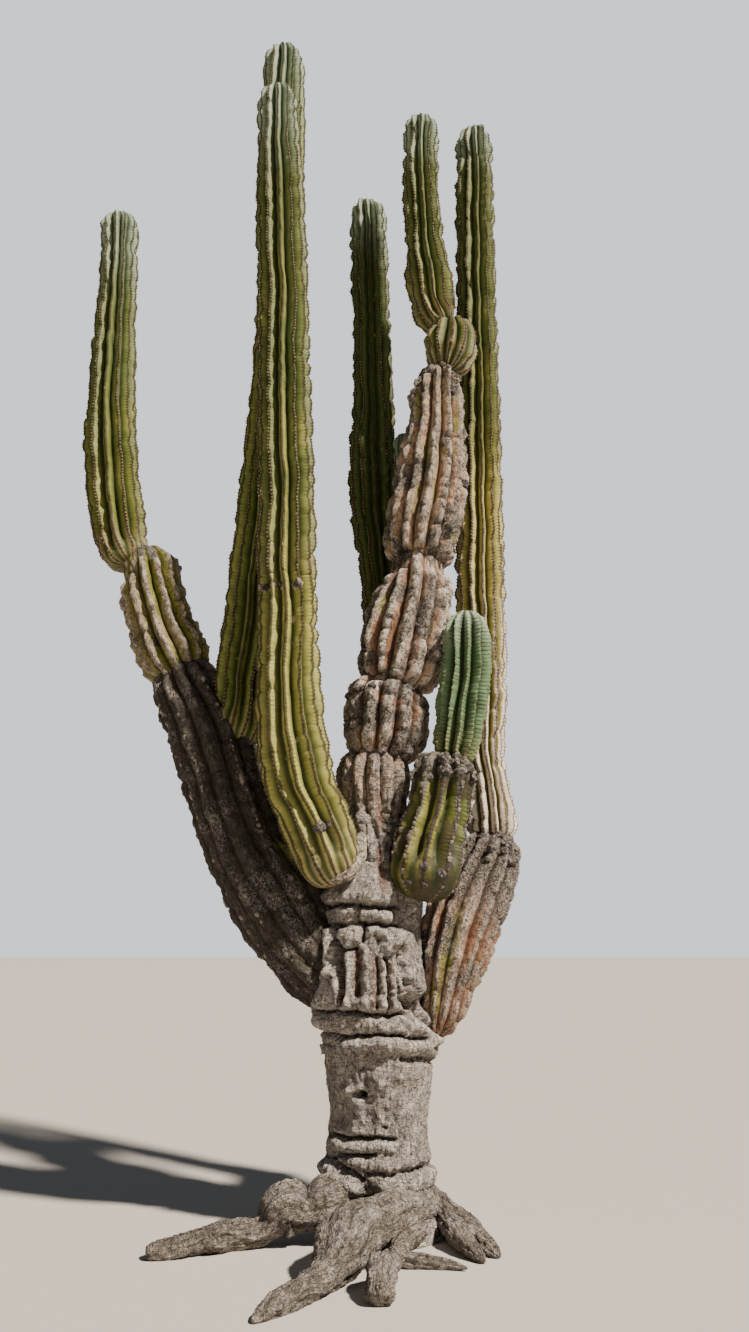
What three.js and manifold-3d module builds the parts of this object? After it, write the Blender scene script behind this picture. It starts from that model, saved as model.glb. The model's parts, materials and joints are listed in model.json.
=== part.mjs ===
// A cardon, the giant columnar cactus of the Sonoran desert, in millimetres with +Z up.
// The origin is the middle of the flat cut under the trunk, at ground level. +X is to the right and +Y to the rear
// as the plant is usually seen.
//
// A short barked trunk stands on a few thick surface roots. It forks into leaning boughs and a middle stem made of
// stacked growths, and ribbed arms rise from all of them. Each piece is a separate closed solid, cut a hair's breadth
// clear of the pieces that carry it.
import * as THREE from "three";
import { mergeVertices } from "three/addons/utils/BufferGeometryUtils.js";
import Module from "manifold-3d";

const wasm = await Module();
wasm.setup();

// Driving dimensions
const clearance = 0.9; // gap left between two pieces that touch
const ringStep = 520; // distance between rings along a long column
const domeRings = 3; // rings that round off an end
const armRibs = 12; // ribs round a green arm
const boughRibs = 13; // ribs round an old, corky limb
const armGroove = 0.2; // depth of the grooves between ribs, as a share of the radius
const corkGroove = 0.15; // the same on a corky limb, whose grooves have filled in
const rootSides = 9; // corners round a root
const rootStep = 110; // distance between rings along a root
const sameSpot = 0.001; // corners nearer than this are one corner
const plantReach = 12000; // larger than the plant, for the block that stands for all above the ground

// Finishes
const finish = (colour, roughness) => new THREE.MeshStandardMaterial({ color: colour, roughness, metalness: 0 });
const greenSkin = finish(0x8a9142, 0.62);
const youngSkin = finish(0x8da27c, 0.6);
const corkSkin = finish(0x8c6f56, 0.88);
const greyBark = finish(0x9a8c7d, 0.92);

// Ends: the radius closes in over a length, to a share of itself at the very end
const domed = (length) => ({ length, flat: 0 });
const shouldered = (length, flat) => ({ length, flat });
const square = { length: 1, flat: 1 };

// Limbs: stations run from the foot to the tip as [x, y, z, radius over the rib crests]
const limbs = [
  {
    name: "trunk",
    skin: greyBark,
    ribs: boughRibs,
    groove: [0.05, 0.16],
    step: 150,
    foot: square,
    levelFoot: true,
    tip: shouldered(150, 0.62),
    stations: [
      [0, 0, 0, 400],
      [0, 0, 120, 345],
      [0, 0, 230, 312],
      [-30, 0, 400, 326],
      [-35, 0, 560, 306],
      [-30, 5, 780, 320],
      [-30, 5, 960, 342],
      [-25, 10, 1080, 378],
      [-60, 10, 1190, 352],
      [-95, 15, 1330, 380],
      [-100, 15, 1570, 352],
      [-90, 20, 1800, 322],
      [-90, 20, 1950, 338],
      [-95, 20, 2090, 296],
      [-75, 20, 2230, 222],
      [-60, 25, 2350, 198],
      [-60, 25, 2500, 214],
      [-65, 30, 2660, 246],
      [-62, 30, 2800, 258],
      [-50, 30, 2940, 246],
    ],
    carriedBy: [],
  },
  {
    name: "left_bough_lower",
    skin: corkSkin,
    ribs: boughRibs,
    groove: [0.1, corkGroove],
    foot: square,
    tip: shouldered(120, 0.72),
    stations: [
      [-150, 0, 1300, 210],
      [-380, 30, 1520, 262],
      [-600, 60, 1770, 292],
      [-770, 90, 2010, 300],
      [-930, 120, 2290, 284],
      [-1080, 150, 2630, 266],
      [-1260, 180, 3070, 264],
      [-1430, 200, 3520, 258],
      [-1465, 200, 3620, 240],
    ],
    carriedBy: ["trunk"],
  },
  {
    name: "left_bough_upper",
    skin: corkSkin,
    ribs: boughRibs,
    groove: [corkGroove, 0.2],
    foot: shouldered(120, 0.75),
    tip: shouldered(150, 0.6),
    stations: [
      [-1450, 200, 3560, 236],
      [-1530, 200, 3700, 262],
      [-1605, 205, 3850, 252],
      [-1705, 210, 4140, 244],
      [-1765, 215, 4380, 236],
      [-1800, 220, 4540, 216],
    ],
    carriedBy: ["left_bough_lower"],
  },
  {
    name: "left_outer_arm",
    skin: greenSkin,
    ribs: armRibs,
    groove: [armGroove, armGroove],
    foot: shouldered(190, 0.4),
    tip: domed(190),
    stations: [
      [-1900, 215, 4420, 150],
      [-1975, 220, 4580, 186],
      [-2015, 225, 4760, 210],
      [-2075, 230, 5000, 216],
      [-2125, 230, 5330, 216],
      [-2155, 235, 5700, 196],
      [-2180, 240, 6230, 180],
      [-2195, 245, 6810, 160],
      [-2220, 250, 7380, 150],
      [-2240, 250, 7680, 154],
    ],
    carriedBy: ["left_bough_upper"],
  },
  {
    name: "left_rear_arm",
    skin: greenSkin,
    ribs: armRibs,
    groove: [armGroove, armGroove],
    foot: shouldered(240, 0.3),
    tip: domed(210),
    stations: [
      [-1090, 150, 3020, 170],
      [-1030, 110, 3230, 200],
      [-1000, 105, 3480, 206],
      [-945, 110, 4140, 206],
      [-895, 110, 4970, 202],
      [-850, 115, 5850, 190],
      [-835, 120, 6790, 184],
      [-835, 125, 7800, 182],
      [-855, 130, 8950, 184],
      [-865, 130, 9380, 180],
    ],
    carriedBy: ["left_bough_lower"],
  },
  {
    name: "left_front_arm_lower",
    skin: greenSkin,
    ribs: armRibs,
    groove: [0.16, armGroove],
    step: 300,
    foot: shouldered(170, 0.45),
    tip: shouldered(30, 0.94),
    stations: [
      [-240, -190, 2130, 190],
      [-340, -275, 2190, 214],
      [-410, -315, 2310, 230],
      [-465, -330, 2430, 234],
      [-520, -340, 2590, 230],
      [-575, -355, 2830, 228],
      [-620, -375, 3220, 216],
      [-645, -372, 3660, 208],
      [-662, -370, 4060, 206],
    ],
    carriedBy: ["trunk"],
  },
  {
    name: "left_front_arm_upper",
    skin: greenSkin,
    ribs: armRibs,
    groove: [armGroove, armGroove],
    foot: shouldered(30, 0.94),
    tip: domed(210),
    stations: [
      [-662, -370, 4060, 206],
      [-680, -358, 4690, 205],
      [-718, -346, 5500, 199],
      [-752, -334, 6370, 195],
      [-800, -318, 7320, 192],
      [-838, -304, 8100, 166],
      [-853, -300, 8470, 162],
    ],
    carriedBy: ["left_front_arm_lower"],
  },
  {
    name: "middle_stem_bulge",
    skin: corkSkin,
    ribs: boughRibs,
    groove: [corkGroove, corkGroove],
    step: 110,
    foot: shouldered(150, 0.62),
    tip: shouldered(120, 0.72),
    stations: [
      [-10, 30, 2890, 262],
      [20, 35, 3100, 300],
      [30, 40, 3260, 304],
      [75, 50, 3440, 280],
    ],
    carriedBy: ["trunk"],
  },
  {
    name: "middle_stem_lower",
    skin: corkSkin,
    ribs: boughRibs,
    groove: [corkGroove, corkGroove],
    step: 160,
    foot: shouldered(110, 0.75),
    tip: shouldered(110, 0.72),
    stations: [
      [90, 50, 3400, 280],
      [112, 52, 3500, 294],
      [145, 58, 3700, 322],
      [196, 62, 3930, 314],
      [240, 68, 4170, 280],
      [268, 70, 4400, 256],
    ],
    carriedBy: ["middle_stem_bulge"],
  },
  {
    name: "middle_stem_upper",
    skin: corkSkin,
    ribs: boughRibs,
    groove: [corkGroove, 0.22],
    step: 200,
    foot: shouldered(110, 0.78),
    tip: shouldered(130, 0.6),
    stations: [
      [262, 70, 4360, 254],
      [285, 68, 4570, 280],
      [345, 62, 4890, 284],
      [390, 60, 5230, 270],
      [418, 56, 5500, 226],
      [424, 54, 5800, 212],
      [432, 50, 6000, 198],
    ],
    carriedBy: ["middle_stem_lower"],
  },
  {
    name: "middle_stem_ball",
    skin: greenSkin,
    ribs: boughRibs,
    groove: [0.17, 0.17],
    step: 110,
    foot: shouldered(190, 0.42),
    tip: shouldered(190, 0.3),
    stations: [
      [505, 50, 6000, 190],
      [535, 50, 6120, 205],
      [552, 50, 6260, 206],
      [545, 48, 6460, 190],
    ],
    carriedBy: ["middle_stem_upper"],
  },
  {
    name: "middle_top_arm",
    skin: greenSkin,
    ribs: armRibs,
    groove: [armGroove, armGroove],
    foot: shouldered(150, 0.4),
    tip: domed(170),
    stations: [
      [490, 44, 6400, 150],
      [428, 34, 6510, 176],
      [402, 26, 6680, 192],
      [366, 14, 7000, 174],
      [340, -8, 7400, 154],
      [326, -22, 7800, 150],
      [334, -40, 8130, 145],
      [345, -50, 8400, 152],
    ],
    carriedBy: ["middle_stem_ball", "middle_stem_upper"],
  },
  {
    name: "rear_arm",
    skin: greenSkin,
    ribs: armRibs,
    groove: [armGroove, armGroove],
    foot: shouldered(200, 0.4),
    tip: domed(180),
    stations: [
      [140, 230, 3430, 150],
      [95, 370, 3640, 180],
      [50, 440, 4020, 192],
      [0, 470, 4560, 188],
      [-52, 520, 5110, 206],
      [-66, 530, 5480, 204],
      [-66, 525, 5850, 178],
      [-78, 520, 6610, 164],
      [-104, 520, 7430, 164],
      [-118, 520, 8060, 152],
    ],
    carriedBy: ["middle_stem_lower", "middle_stem_bulge"],
  },
  {
    name: "rear_bud",
    skin: youngSkin,
    ribs: armRibs,
    groove: [armGroove, armGroove],
    step: 160,
    foot: shouldered(110, 0.4),
    tip: domed(110),
    stations: [
      [290, 250, 4860, 64],
      [222, 325, 5020, 84],
      [190, 350, 5260, 90],
      [172, 350, 5620, 88],
    ],
    carriedBy: ["middle_stem_upper"],
  },
  {
    name: "right_bough",
    skin: corkSkin,
    ribs: boughRibs,
    groove: [0.1, corkGroove],
    step: 170,
    foot: shouldered(330, 0.15),
    tip: shouldered(130, 0.66),
    stations: [
      [340, 5, 1110, 150],
      [392, 25, 1330, 176],
      [458, 70, 1570, 222],
      [545, 130, 1820, 250],
      [630, 180, 2030, 262],
      [722, 235, 2220, 230],
      [786, 265, 2400, 196],
    ],
    carriedBy: ["trunk"],
  },
  {
    name: "right_tall_arm_lower",
    skin: greenSkin,
    ribs: armRibs,
    groove: [0.15, 0.18],
    foot: shouldered(60, 0.85),
    tip: shouldered(60, 0.88),
    stations: [
      [762, 258, 2400, 162],
      [758, 265, 2620, 160],
      [728, 275, 2930, 152],
      [742, 290, 3370, 168],
      [752, 300, 3760, 176],
      [744, 315, 4170, 188],
    ],
    carriedBy: ["right_bough"],
  },
  {
    name: "right_tall_arm_upper",
    skin: greenSkin,
    ribs: armRibs,
    groove: [armGroove, armGroove],
    foot: shouldered(60, 0.88),
    tip: domed(190),
    stations: [
      [744, 315, 4140, 188],
      [755, 330, 4520, 192],
      [772, 350, 5000, 180],
      [794, 375, 5900, 176],
      [806, 385, 6880, 168],
      [822, 390, 7920, 168],
      [832, 395, 8390, 154],
      [838, 395, 8730, 154],
    ],
    carriedBy: ["right_tall_arm_lower"],
  },
  {
    name: "front_bough",
    skin: greenSkin,
    ribs: boughRibs,
    groove: [0.17, 0.19],
    step: 150,
    foot: shouldered(200, 0.3),
    tip: shouldered(130, 0.66),
    stations: [
      [235, -165, 1950, 210],
      [275, -190, 2140, 226],
      [312, -190, 2330, 226],
      [352, -182, 2470, 222],
      [385, -178, 2610, 216],
      [420, -172, 2880, 200],
    ],
    carriedBy: ["trunk"],
  },
  {
    name: "front_arm",
    skin: youngSkin,
    ribs: armRibs,
    groove: [0.18, armGroove],
    step: 200,
    foot: shouldered(130, 0.5),
    tip: domed(200),
    stations: [
      [462, -170, 2850, 150],
      [502, -170, 3010, 160],
      [545, -170, 3290, 178],
      [578, -170, 3560, 176],
      [590, -170, 3915, 166],
    ],
    carriedBy: ["front_bough"],
  },
];

// Surface roots: they leave the foot of the trunk, arch over the ground and dip back to it
const rootRoutes = [
  {
    name: "root_left",
    stations: [
      [-150, -90, 185, 125],
      [-320, -174, 205, 122],
      [-450, -262, 165, 98],
      [-570, -285, 195, 154],
      [-710, -325, 98, 86],
      [-830, -370, 84, 86],
      [-1000, -450, 80, 84],
      [-1150, -520, 74, 82],
      [-1310, -560, 56, 68],
    ],
    carriedBy: ["trunk"],
  },
  {
    name: "root_front",
    stations: [
      [215, -90, 170, 120],
      [110, -275, 175, 130],
      [-82, -534, 178, 136],
      [-220, -815, 158, 146],
      [-262, -1000, 122, 132],
      [-340, -1190, 88, 98],
      [-445, -1300, 68, 88],
      [-540, -1430, 46, 74],
      [-610, -1520, 20, 48],
    ],
    carriedBy: ["trunk"],
  },
  {
    name: "root_right",
    stations: [
      [190, -30, 210, 120],
      [339, -70, 140, 90],
      [440, -205, 92, 80],
      [538, -400, 62, 72],
      [630, -540, 28, 46],
    ],
    carriedBy: ["trunk", "root_front"],
  },
  {
    name: "root_right_fork",
    stations: [
      [380, -170, 90, 70],
      [404, -327, 78, 66],
      [472, -506, 48, 58],
      [535, -640, 16, 38],
    ],
    carriedBy: ["root_right", "trunk"],
  },
  {
    name: "root_stub",
    stations: [
      [200, -280, 96, 70],
      [113, -488, 88, 68],
      [40, -800, 100, 68],
      [-5, -1040, 110, 74],
      [-28, -1230, 88, 78],
      [-36, -1310, 30, 70],
    ],
    carriedBy: ["root_front", "trunk"],
  },
  {
    name: "root_slim",
    stations: [
      [70, -690, 42, 32],
      [189, -705, 35, 29],
      [330, -725, 26, 25],
      [435, -762, 16, 16],
    ],
    carriedBy: ["root_stub"],
  },
  {
    name: "root_rear_left",
    stations: [
      [-100, 140, 190, 130],
      [-180, 350, 125, 100],
      [-230, 560, 72, 76],
      [-310, 750, 26, 44],
    ],
    carriedBy: ["trunk"],
  },
  {
    name: "root_rear_right",
    stations: [
      [120, 140, 200, 135],
      [200, 380, 140, 110],
      [240, 630, 78, 82],
      [330, 870, 22, 46],
    ],
    carriedBy: ["trunk"],
  },
];
const roots = rootRoutes.map((route) => ({
  ...route,
  skin: greyBark,
  ribs: 0,
  groove: [0, 0],
  step: rootStep,
  foot: square,
  tip: shouldered(60, 0.45),
  onGround: true,
}));

// The smooth line through a limb's stations. It is measured by the straight distance from station to station.
function lineThrough(stations) {
  const places = [0];
  for (let i = 1; i < stations.length; i += 1) {
    const [a, b] = [stations[i - 1], stations[i]];
    places.push(places[i - 1] + Math.hypot(b[0] - a[0], b[1] - a[1], b[2] - a[2]));
  }
  const last = stations.length - 1;
  const slope = (i, k) => (stations[i + 1][k] - stations[i][k]) / (places[i + 1] - places[i]);
  const slopes = stations.map((station, i) =>
    station.map((_, k) => {
      if (i === 0) return slope(0, k);
      if (i === last) return slope(last - 1, k);
      const [before, after] = [places[i] - places[i - 1], places[i + 1] - places[i]];
      return (slope(i - 1, k) * after + slope(i, k) * before) / (before + after);
    }),
  );
  const at = (place) => {
    const i = Math.min(Math.max(places.findLastIndex((p) => p <= place), 0), last - 1);
    const span = places[i + 1] - places[i];
    const t = (place - places[i]) / span;
    const [fromStart, fromEnd] = [(1 + 2 * t) * (1 - t) ** 2, t * t * (3 - 2 * t)];
    const [leaving, arriving] = [t * (1 - t) ** 2 * span, t * t * (t - 1) * span];
    return stations[i].map(
      (_, k) =>
        fromStart * stations[i][k] +
        fromEnd * stations[i + 1][k] +
        leaving * slopes[i][k] +
        arriving * slopes[i + 1][k],
    );
  };
  return { length: places[last], at };
}

// How far an end has closed in, at a distance from that end
function closing(end, distance) {
  if (distance >= end.length) return 1;
  return end.flat + (1 - end.flat) * Math.sqrt(1 - (1 - distance / end.length) ** 2);
}

// Distances of the rings from the foot: even along the column, and closer where an end rounds off
function ringPlaces(limb, length) {
  const rounding = (end) => {
    if (end.flat === 1) return [];
    const turns = Array.from({ length: domeRings }, (_, i) => (i / domeRings) * (Math.PI / 2));
    return turns.map((turn) => end.length * (1 - Math.cos(turn)));
  };
  const low = limb.foot.flat === 1 ? 0 : limb.foot.length;
  const high = limb.tip.flat === 1 ? length : length - limb.tip.length;
  const spans = Math.max(1, Math.round((high - low) / (limb.step ?? ringStep)));
  const column = Array.from({ length: spans + 1 }, (_, i) => low + ((high - low) * i) / spans);
  const tip = rounding(limb.tip).map((distance) => length - distance);
  return [...rounding(limb.foot), ...column, ...tip.reverse()];
}

// The corners of the ring at a place along a limb's line, with a groove at every second one on a ribbed limb
function ringPoints(limb, line, place, grow) {
  const [x, y, z, radius] = line.at(place);
  const middle = new THREE.Vector3(x, y, z);
  const spot = (at) => new THREE.Vector3(...line.at(at).slice(0, 3));
  const onward = spot(Math.min(place + 1, line.length)).sub(spot(Math.max(place - 1, 0))).normalize();
  if (place === 0 && limb.levelFoot) onward.set(0, 0, 1);
  const facing = limb.onGround ? new THREE.Vector3(0, 0, 1) : new THREE.Vector3(0, -1, 0);
  const front = facing.addScaledVector(onward, -facing.dot(onward)).normalize();
  const side = onward.clone().cross(front);
  const shut = closing(limb.foot, place) * closing(limb.tip, line.length - place);
  const share = place / line.length;
  const groove = limb.groove[0] * (1 - share) + limb.groove[1] * share;
  if (place === 0) middle.addScaledVector(onward, -grow);
  if (place === line.length) middle.addScaledVector(onward, grow);
  const corners = limb.ribs > 0 ? limb.ribs * 2 : rootSides;
  return Array.from({ length: corners }, (_, i) => {
    const turn = (i / corners) * Math.PI * 2;
    const reach = radius * shut * (i % 2 === 1 ? 1 - groove : 1) + grow;
    return middle
      .clone()
      .addScaledVector(front, Math.cos(turn) * reach)
      .addScaledVector(side, Math.sin(turn) * reach);
  });
}

// One closed solid along a limb's line. Grow makes it thicker all round, to cut its neighbours clear of it.
function limbSolid(limb, grow = 0) {
  const line = lineThrough(limb.stations);
  const rings = ringPlaces(limb, line.length).map((place) => ringPoints(limb, line, place, grow));
  const corners = rings[0].length;
  const points = rings.flat();
  const faces = [];
  for (let ring = 0; ring + 1 < rings.length; ring += 1) {
    for (let i = 0; i < corners; i += 1) {
      const [a, b] = [ring * corners + i, ring * corners + ((i + 1) % corners)];
      faces.push(a, b, b + corners, a, b + corners, a + corners);
    }
  }
  const middleOf = (ring) =>
    ring.reduce((sum, point) => sum.add(point), new THREE.Vector3()).divideScalar(corners);
  const [foot, tip] = [points.length, points.length + 1];
  points.push(middleOf(rings[0]), middleOf(rings.at(-1)));
  for (let i = 0; i < corners; i += 1) {
    const next = (i + 1) % corners;
    faces.push(foot, next, i, tip, foot - corners + i, foot - corners + next);
  }
  const geometry = new THREE.BufferGeometry().setFromPoints(points);
  geometry.setIndex(faces);
  return solidOf(geometry);
}

// A closed three.js geometry as a solid that can be joined and cut
function solidOf(geometry) {
  const bare = geometry.clone();
  bare.deleteAttribute("normal");
  bare.deleteAttribute("uv");
  const merged = mergeVertices(bare, sameSpot);
  return new wasm.Manifold(
    new wasm.Mesh({
      numProp: 3,
      vertProperties: merged.attributes.position.array,
      triVerts: new Uint32Array(merged.index.array),
    }),
  );
}

// A cut solid as a three.js geometry again. Only its largest body is kept, without loose scraps.
function geometryOf(solid) {
  const body = solid.decompose().reduce((largest, one) => (one.volume() > largest.volume() ? one : largest));
  const mesh = body.getMesh();
  const geometry = new THREE.BufferGeometry();
  geometry.setAttribute("position", new THREE.BufferAttribute(new Float32Array(mesh.vertProperties), 3));
  geometry.setIndex(new THREE.BufferAttribute(new Uint32Array(mesh.triVerts), 1));
  geometry.computeVertexNormals();
  return geometry;
}

const aboveGround = solidOf(
  new THREE.BoxGeometry(plantReach, plantReach, plantReach).translate(0, 0, plantReach / 2),
);

const cactus = new THREE.Group();
const pieces = [...limbs, ...roots];
const named = new Map(pieces.map((piece) => [piece.name, piece]));
for (const piece of pieces) {
  let solid = limbSolid(piece);
  for (const carrier of piece.carriedBy) solid = solid.subtract(limbSolid(named.get(carrier), clearance));
  if (piece.onGround) solid = solid.intersect(aboveGround);
  const mesh = new THREE.Mesh(geometryOf(solid), piece.skin);
  mesh.name = piece.name;
  cactus.add(mesh);
}

export default cactus;
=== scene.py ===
import json
import math

import bmesh
import bpy
import numpy as np
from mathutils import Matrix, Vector
from mathutils.bvhtree import BVHTree


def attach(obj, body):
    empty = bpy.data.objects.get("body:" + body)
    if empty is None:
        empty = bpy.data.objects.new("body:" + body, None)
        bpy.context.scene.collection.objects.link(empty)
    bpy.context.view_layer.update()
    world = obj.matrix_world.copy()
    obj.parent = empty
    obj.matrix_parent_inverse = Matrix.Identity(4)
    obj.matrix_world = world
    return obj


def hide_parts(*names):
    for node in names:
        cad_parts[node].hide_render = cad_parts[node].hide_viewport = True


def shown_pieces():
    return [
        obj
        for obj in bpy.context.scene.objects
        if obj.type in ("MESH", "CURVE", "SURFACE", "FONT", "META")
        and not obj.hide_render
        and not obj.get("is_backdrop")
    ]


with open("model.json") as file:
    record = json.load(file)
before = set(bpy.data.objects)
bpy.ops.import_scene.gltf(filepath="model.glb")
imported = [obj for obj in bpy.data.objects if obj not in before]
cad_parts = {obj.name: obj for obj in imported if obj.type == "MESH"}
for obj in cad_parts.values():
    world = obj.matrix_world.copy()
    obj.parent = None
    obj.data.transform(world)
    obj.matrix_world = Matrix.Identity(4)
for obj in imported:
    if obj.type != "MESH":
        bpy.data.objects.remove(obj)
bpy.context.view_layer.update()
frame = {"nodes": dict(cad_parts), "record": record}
scene = bpy.context.scene
print("frame:", len(frame["nodes"]), "solids")


# Node wiring

class Field:  # a node's socket, so that sums and products of sockets can be written out
    def __init__(self, socket):
        self.socket = socket
        self.tree = socket.id_data

    def math(self, operation, *others):
        kind = "ShaderNodeVectorMath" if self.socket.type == "VECTOR" else "ShaderNodeMath"
        return nodeOut(self.tree, kind, dict(enumerate([self, *others])), operation=operation)

    def __add__(self, other):
        return self.math("ADD", other)

    def __sub__(self, other):
        return self.math("SUBTRACT", other)

    def __rsub__(self, other):
        return nodeOut(self.tree, "ShaderNodeMath", {0: other, 1: self}, operation="SUBTRACT")

    def __mul__(self, other):
        if self.socket.type == "VECTOR":
            scaled = {"Vector": self, "Scale": other}
            return nodeOut(self.tree, "ShaderNodeVectorMath", scaled, operation="SCALE")
        return self.math("MULTIPLY", other)

    def __truediv__(self, other):
        return self.math("DIVIDE", other)

    __radd__ = __add__
    __rmul__ = __mul__


def add(tree, kind, inputs=None, **settings):
    node = tree.nodes.new(kind)
    for name, value in settings.items():
        setattr(node, name, value)
    for key, value in (inputs or {}).items():
        named = [s for s in node.inputs if s.enabled and s.name == key]
        socket = node.inputs[key] if isinstance(key, int) else named[0]
        if isinstance(value, Field):
            tree.links.new(value.socket, socket)
        else:
            socket.default_value = value
    return node


def out(node, name=None):
    return Field(next(s for s in node.outputs if s.enabled and name in (None, s.name)))


def nodeOut(tree, kind, inputs=None, **settings):  # a new node's first output
    return out(add(tree, kind, inputs, **settings))


def newTree(name, kind, inputs, outputs):  # an input is a kind of socket, or the number it starts with
    tree = bpy.data.node_groups.new(name, kind)
    for label, start in inputs.items():
        plain = start if isinstance(start, str) else type(start).__name__.capitalize()
        socket = tree.interface.new_socket(label, in_out="INPUT", socket_type="NodeSocket" + plain)
        if plain != start:
            socket.default_value = start
    for label, plain in outputs.items():
        tree.interface.new_socket(label, in_out="OUTPUT", socket_type="NodeSocket" + plain)
    given = {s.name: Field(s) for s in tree.nodes.new("NodeGroupInput").outputs if s.name}
    result = tree.nodes.new("NodeGroupOutput")

    def give(label, value):
        tree.links.new(value.socket, result.inputs[label])

    return tree, given, give


def ramp(value, start, end, low=0.0, high=1.0):  # a smooth step from low to high
    span = {"Value": value, "From Min": start, "From Max": end, "To Min": low, "To Max": high}
    return nodeOut(value.tree, "ShaderNodeMapRange", span, interpolation_type="SMOOTHSTEP")


def fall(value, start, end):  # the same step, from 1 to 0
    return ramp(value, start, end, 1.0, 0.0)


def blend(factor, a, b):  # numbers
    return nodeOut(factor.tree, "ShaderNodeMix", {"Factor": factor, "A": a, "B": b}, data_type="FLOAT")


def noise(vector, scale, detail=2.0, roughness=0.5):
    grain = {"Vector": vector, "Scale": scale, "Detail": detail, "Roughness": roughness}
    return nodeOut(vector.tree, "ShaderNodeTexNoise", grain)


def vector(tree, x=0.0, y=0.0, z=0.0):
    return nodeOut(tree, "ShaderNodeCombineXYZ", {"X": x, "Y": y, "Z": z})


def kindOf(value):
    return "FLOAT_VECTOR" if value.socket.type == "VECTOR" else "FLOAT"


def stored(tree, name, kind="FLOAT"):  # what a mesh already holds under a name
    return nodeOut(tree, "GeometryNodeInputNamedAttribute", {"Name": name}, data_type=kind)


def store(geometry, name, value, domain="POINT"):
    held = {"Geometry": geometry, "Name": name, "Value": value}
    settings = {"data_type": kindOf(value), "domain": domain}
    return nodeOut(geometry.tree, "GeometryNodeStoreNamedAttribute", held, **settings)


def randomValue(seed, highest=1.0):
    limits = {"Min": 0.0, "Max": highest, "Seed": seed}
    return nodeOut(seed.tree, "FunctionNodeRandomValue", limits, data_type="FLOAT")


def giveGeometry(give, geometry, material):  # every growing tree ends this way
    real = nodeOut(geometry.tree, "GeometryNodeRealizeInstances", {"Geometry": geometry})
    give("Geometry", nodeOut(real.tree, "GeometryNodeSetMaterial", {"Geometry": real, "Material": material}))


def runTree(piece, tree, values):  # the tree's result as a plain mesh
    modifier = piece.modifiers.new("grow", "NODES")
    modifier.node_group = tree
    for item in tree.interface.items_tree:
        if item.in_out == "INPUT" and item.name in values:
            modifier[item.identifier] = values[item.name]
    graph = bpy.context.evaluated_depsgraph_get()
    grown = piece.evaluated_get(graph)
    mesh = bpy.data.meshes.new_from_object(grown, preserve_all_data_layers=True, depsgraph=graph)
    piece.modifiers.remove(modifier)
    mesh.name = piece.name
    piece.data = mesh
    return mesh


def place(name, data):
    piece = bpy.data.objects.new(name, data)
    scene.collection.objects.link(piece)
    return piece


def newMesh(name, points, faces=()):
    mesh = bpy.data.meshes.new(name)
    mesh.from_pydata([tuple(point) for point in points], [], faces)
    return mesh


def keep(mesh, name, values):  # stores a number or a vector for each point
    values = np.asarray(values, np.float32)
    kind, field = ("FLOAT_VECTOR", "vector") if values.ndim == 2 else ("FLOAT", "value")
    mesh.attributes.new(name, kind, "POINT").data.foreach_set(field, values.ravel())


def readAll(items, field, width, kind=np.float32):  # one row for each item
    values = np.empty(len(items) * width, kind)
    items.foreach_get(field, values)
    return values.reshape(-1, width)


def movePoints(mesh, points):
    mesh.vertices.foreach_set("co", points.astype(np.float32).ravel())
    mesh.update()


def hexTone(code):  # a screen colour as the linear one that shaders take
    parts = [int(code[i:i + 2], 16) / 255 for i in (1, 3, 5)]
    return (*[p / 12.92 if p <= 0.04045 else ((p + 0.055) / 1.055) ** 2.4 for p in parts], 1.0)


# Camera and studio

viewpoint = {
    "eyeHeight": 1.6,
    "distance": 6.539,
    "aside": -0.057,
    "lookUp": 16.72,
    "lens": 26,
    "film": 36,
    "farthest": 2000,
}

camera = place("camera", bpy.data.cameras.new("camera"))
camera.data.lens = viewpoint["lens"]
camera.data.sensor_width = viewpoint["film"]
camera.data.clip_end = viewpoint["farthest"]
camera.location = (viewpoint["aside"], -viewpoint["distance"], viewpoint["eyeHeight"])
camera.rotation_euler = (math.radians(90 + viewpoint["lookUp"]), 0, 0)
scene.camera = camera

studio = {
    "floorReach": 700,
    "floorTone": "#bdb8b0",
    "floorRoughness": 0.9,
    "backTone": "#e6e9ee",
    "backPower": 1.35,
    "fillTone": "#dbe5f4",
    "fillPower": 0.14,
    "keyTone": "#fff4e4",
    "keyPower": 9.0,
    "keySpread": 3.5,
    "keyBearing": 52,
    "keyHeight": 48,
}


def sunDirection(bearing, height):  # bearing from -Y towards +X
    b, h = math.radians(bearing), math.radians(height)
    return Vector((math.sin(b) * math.cos(h), -math.cos(b) * math.cos(h), math.sin(h)))


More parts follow.
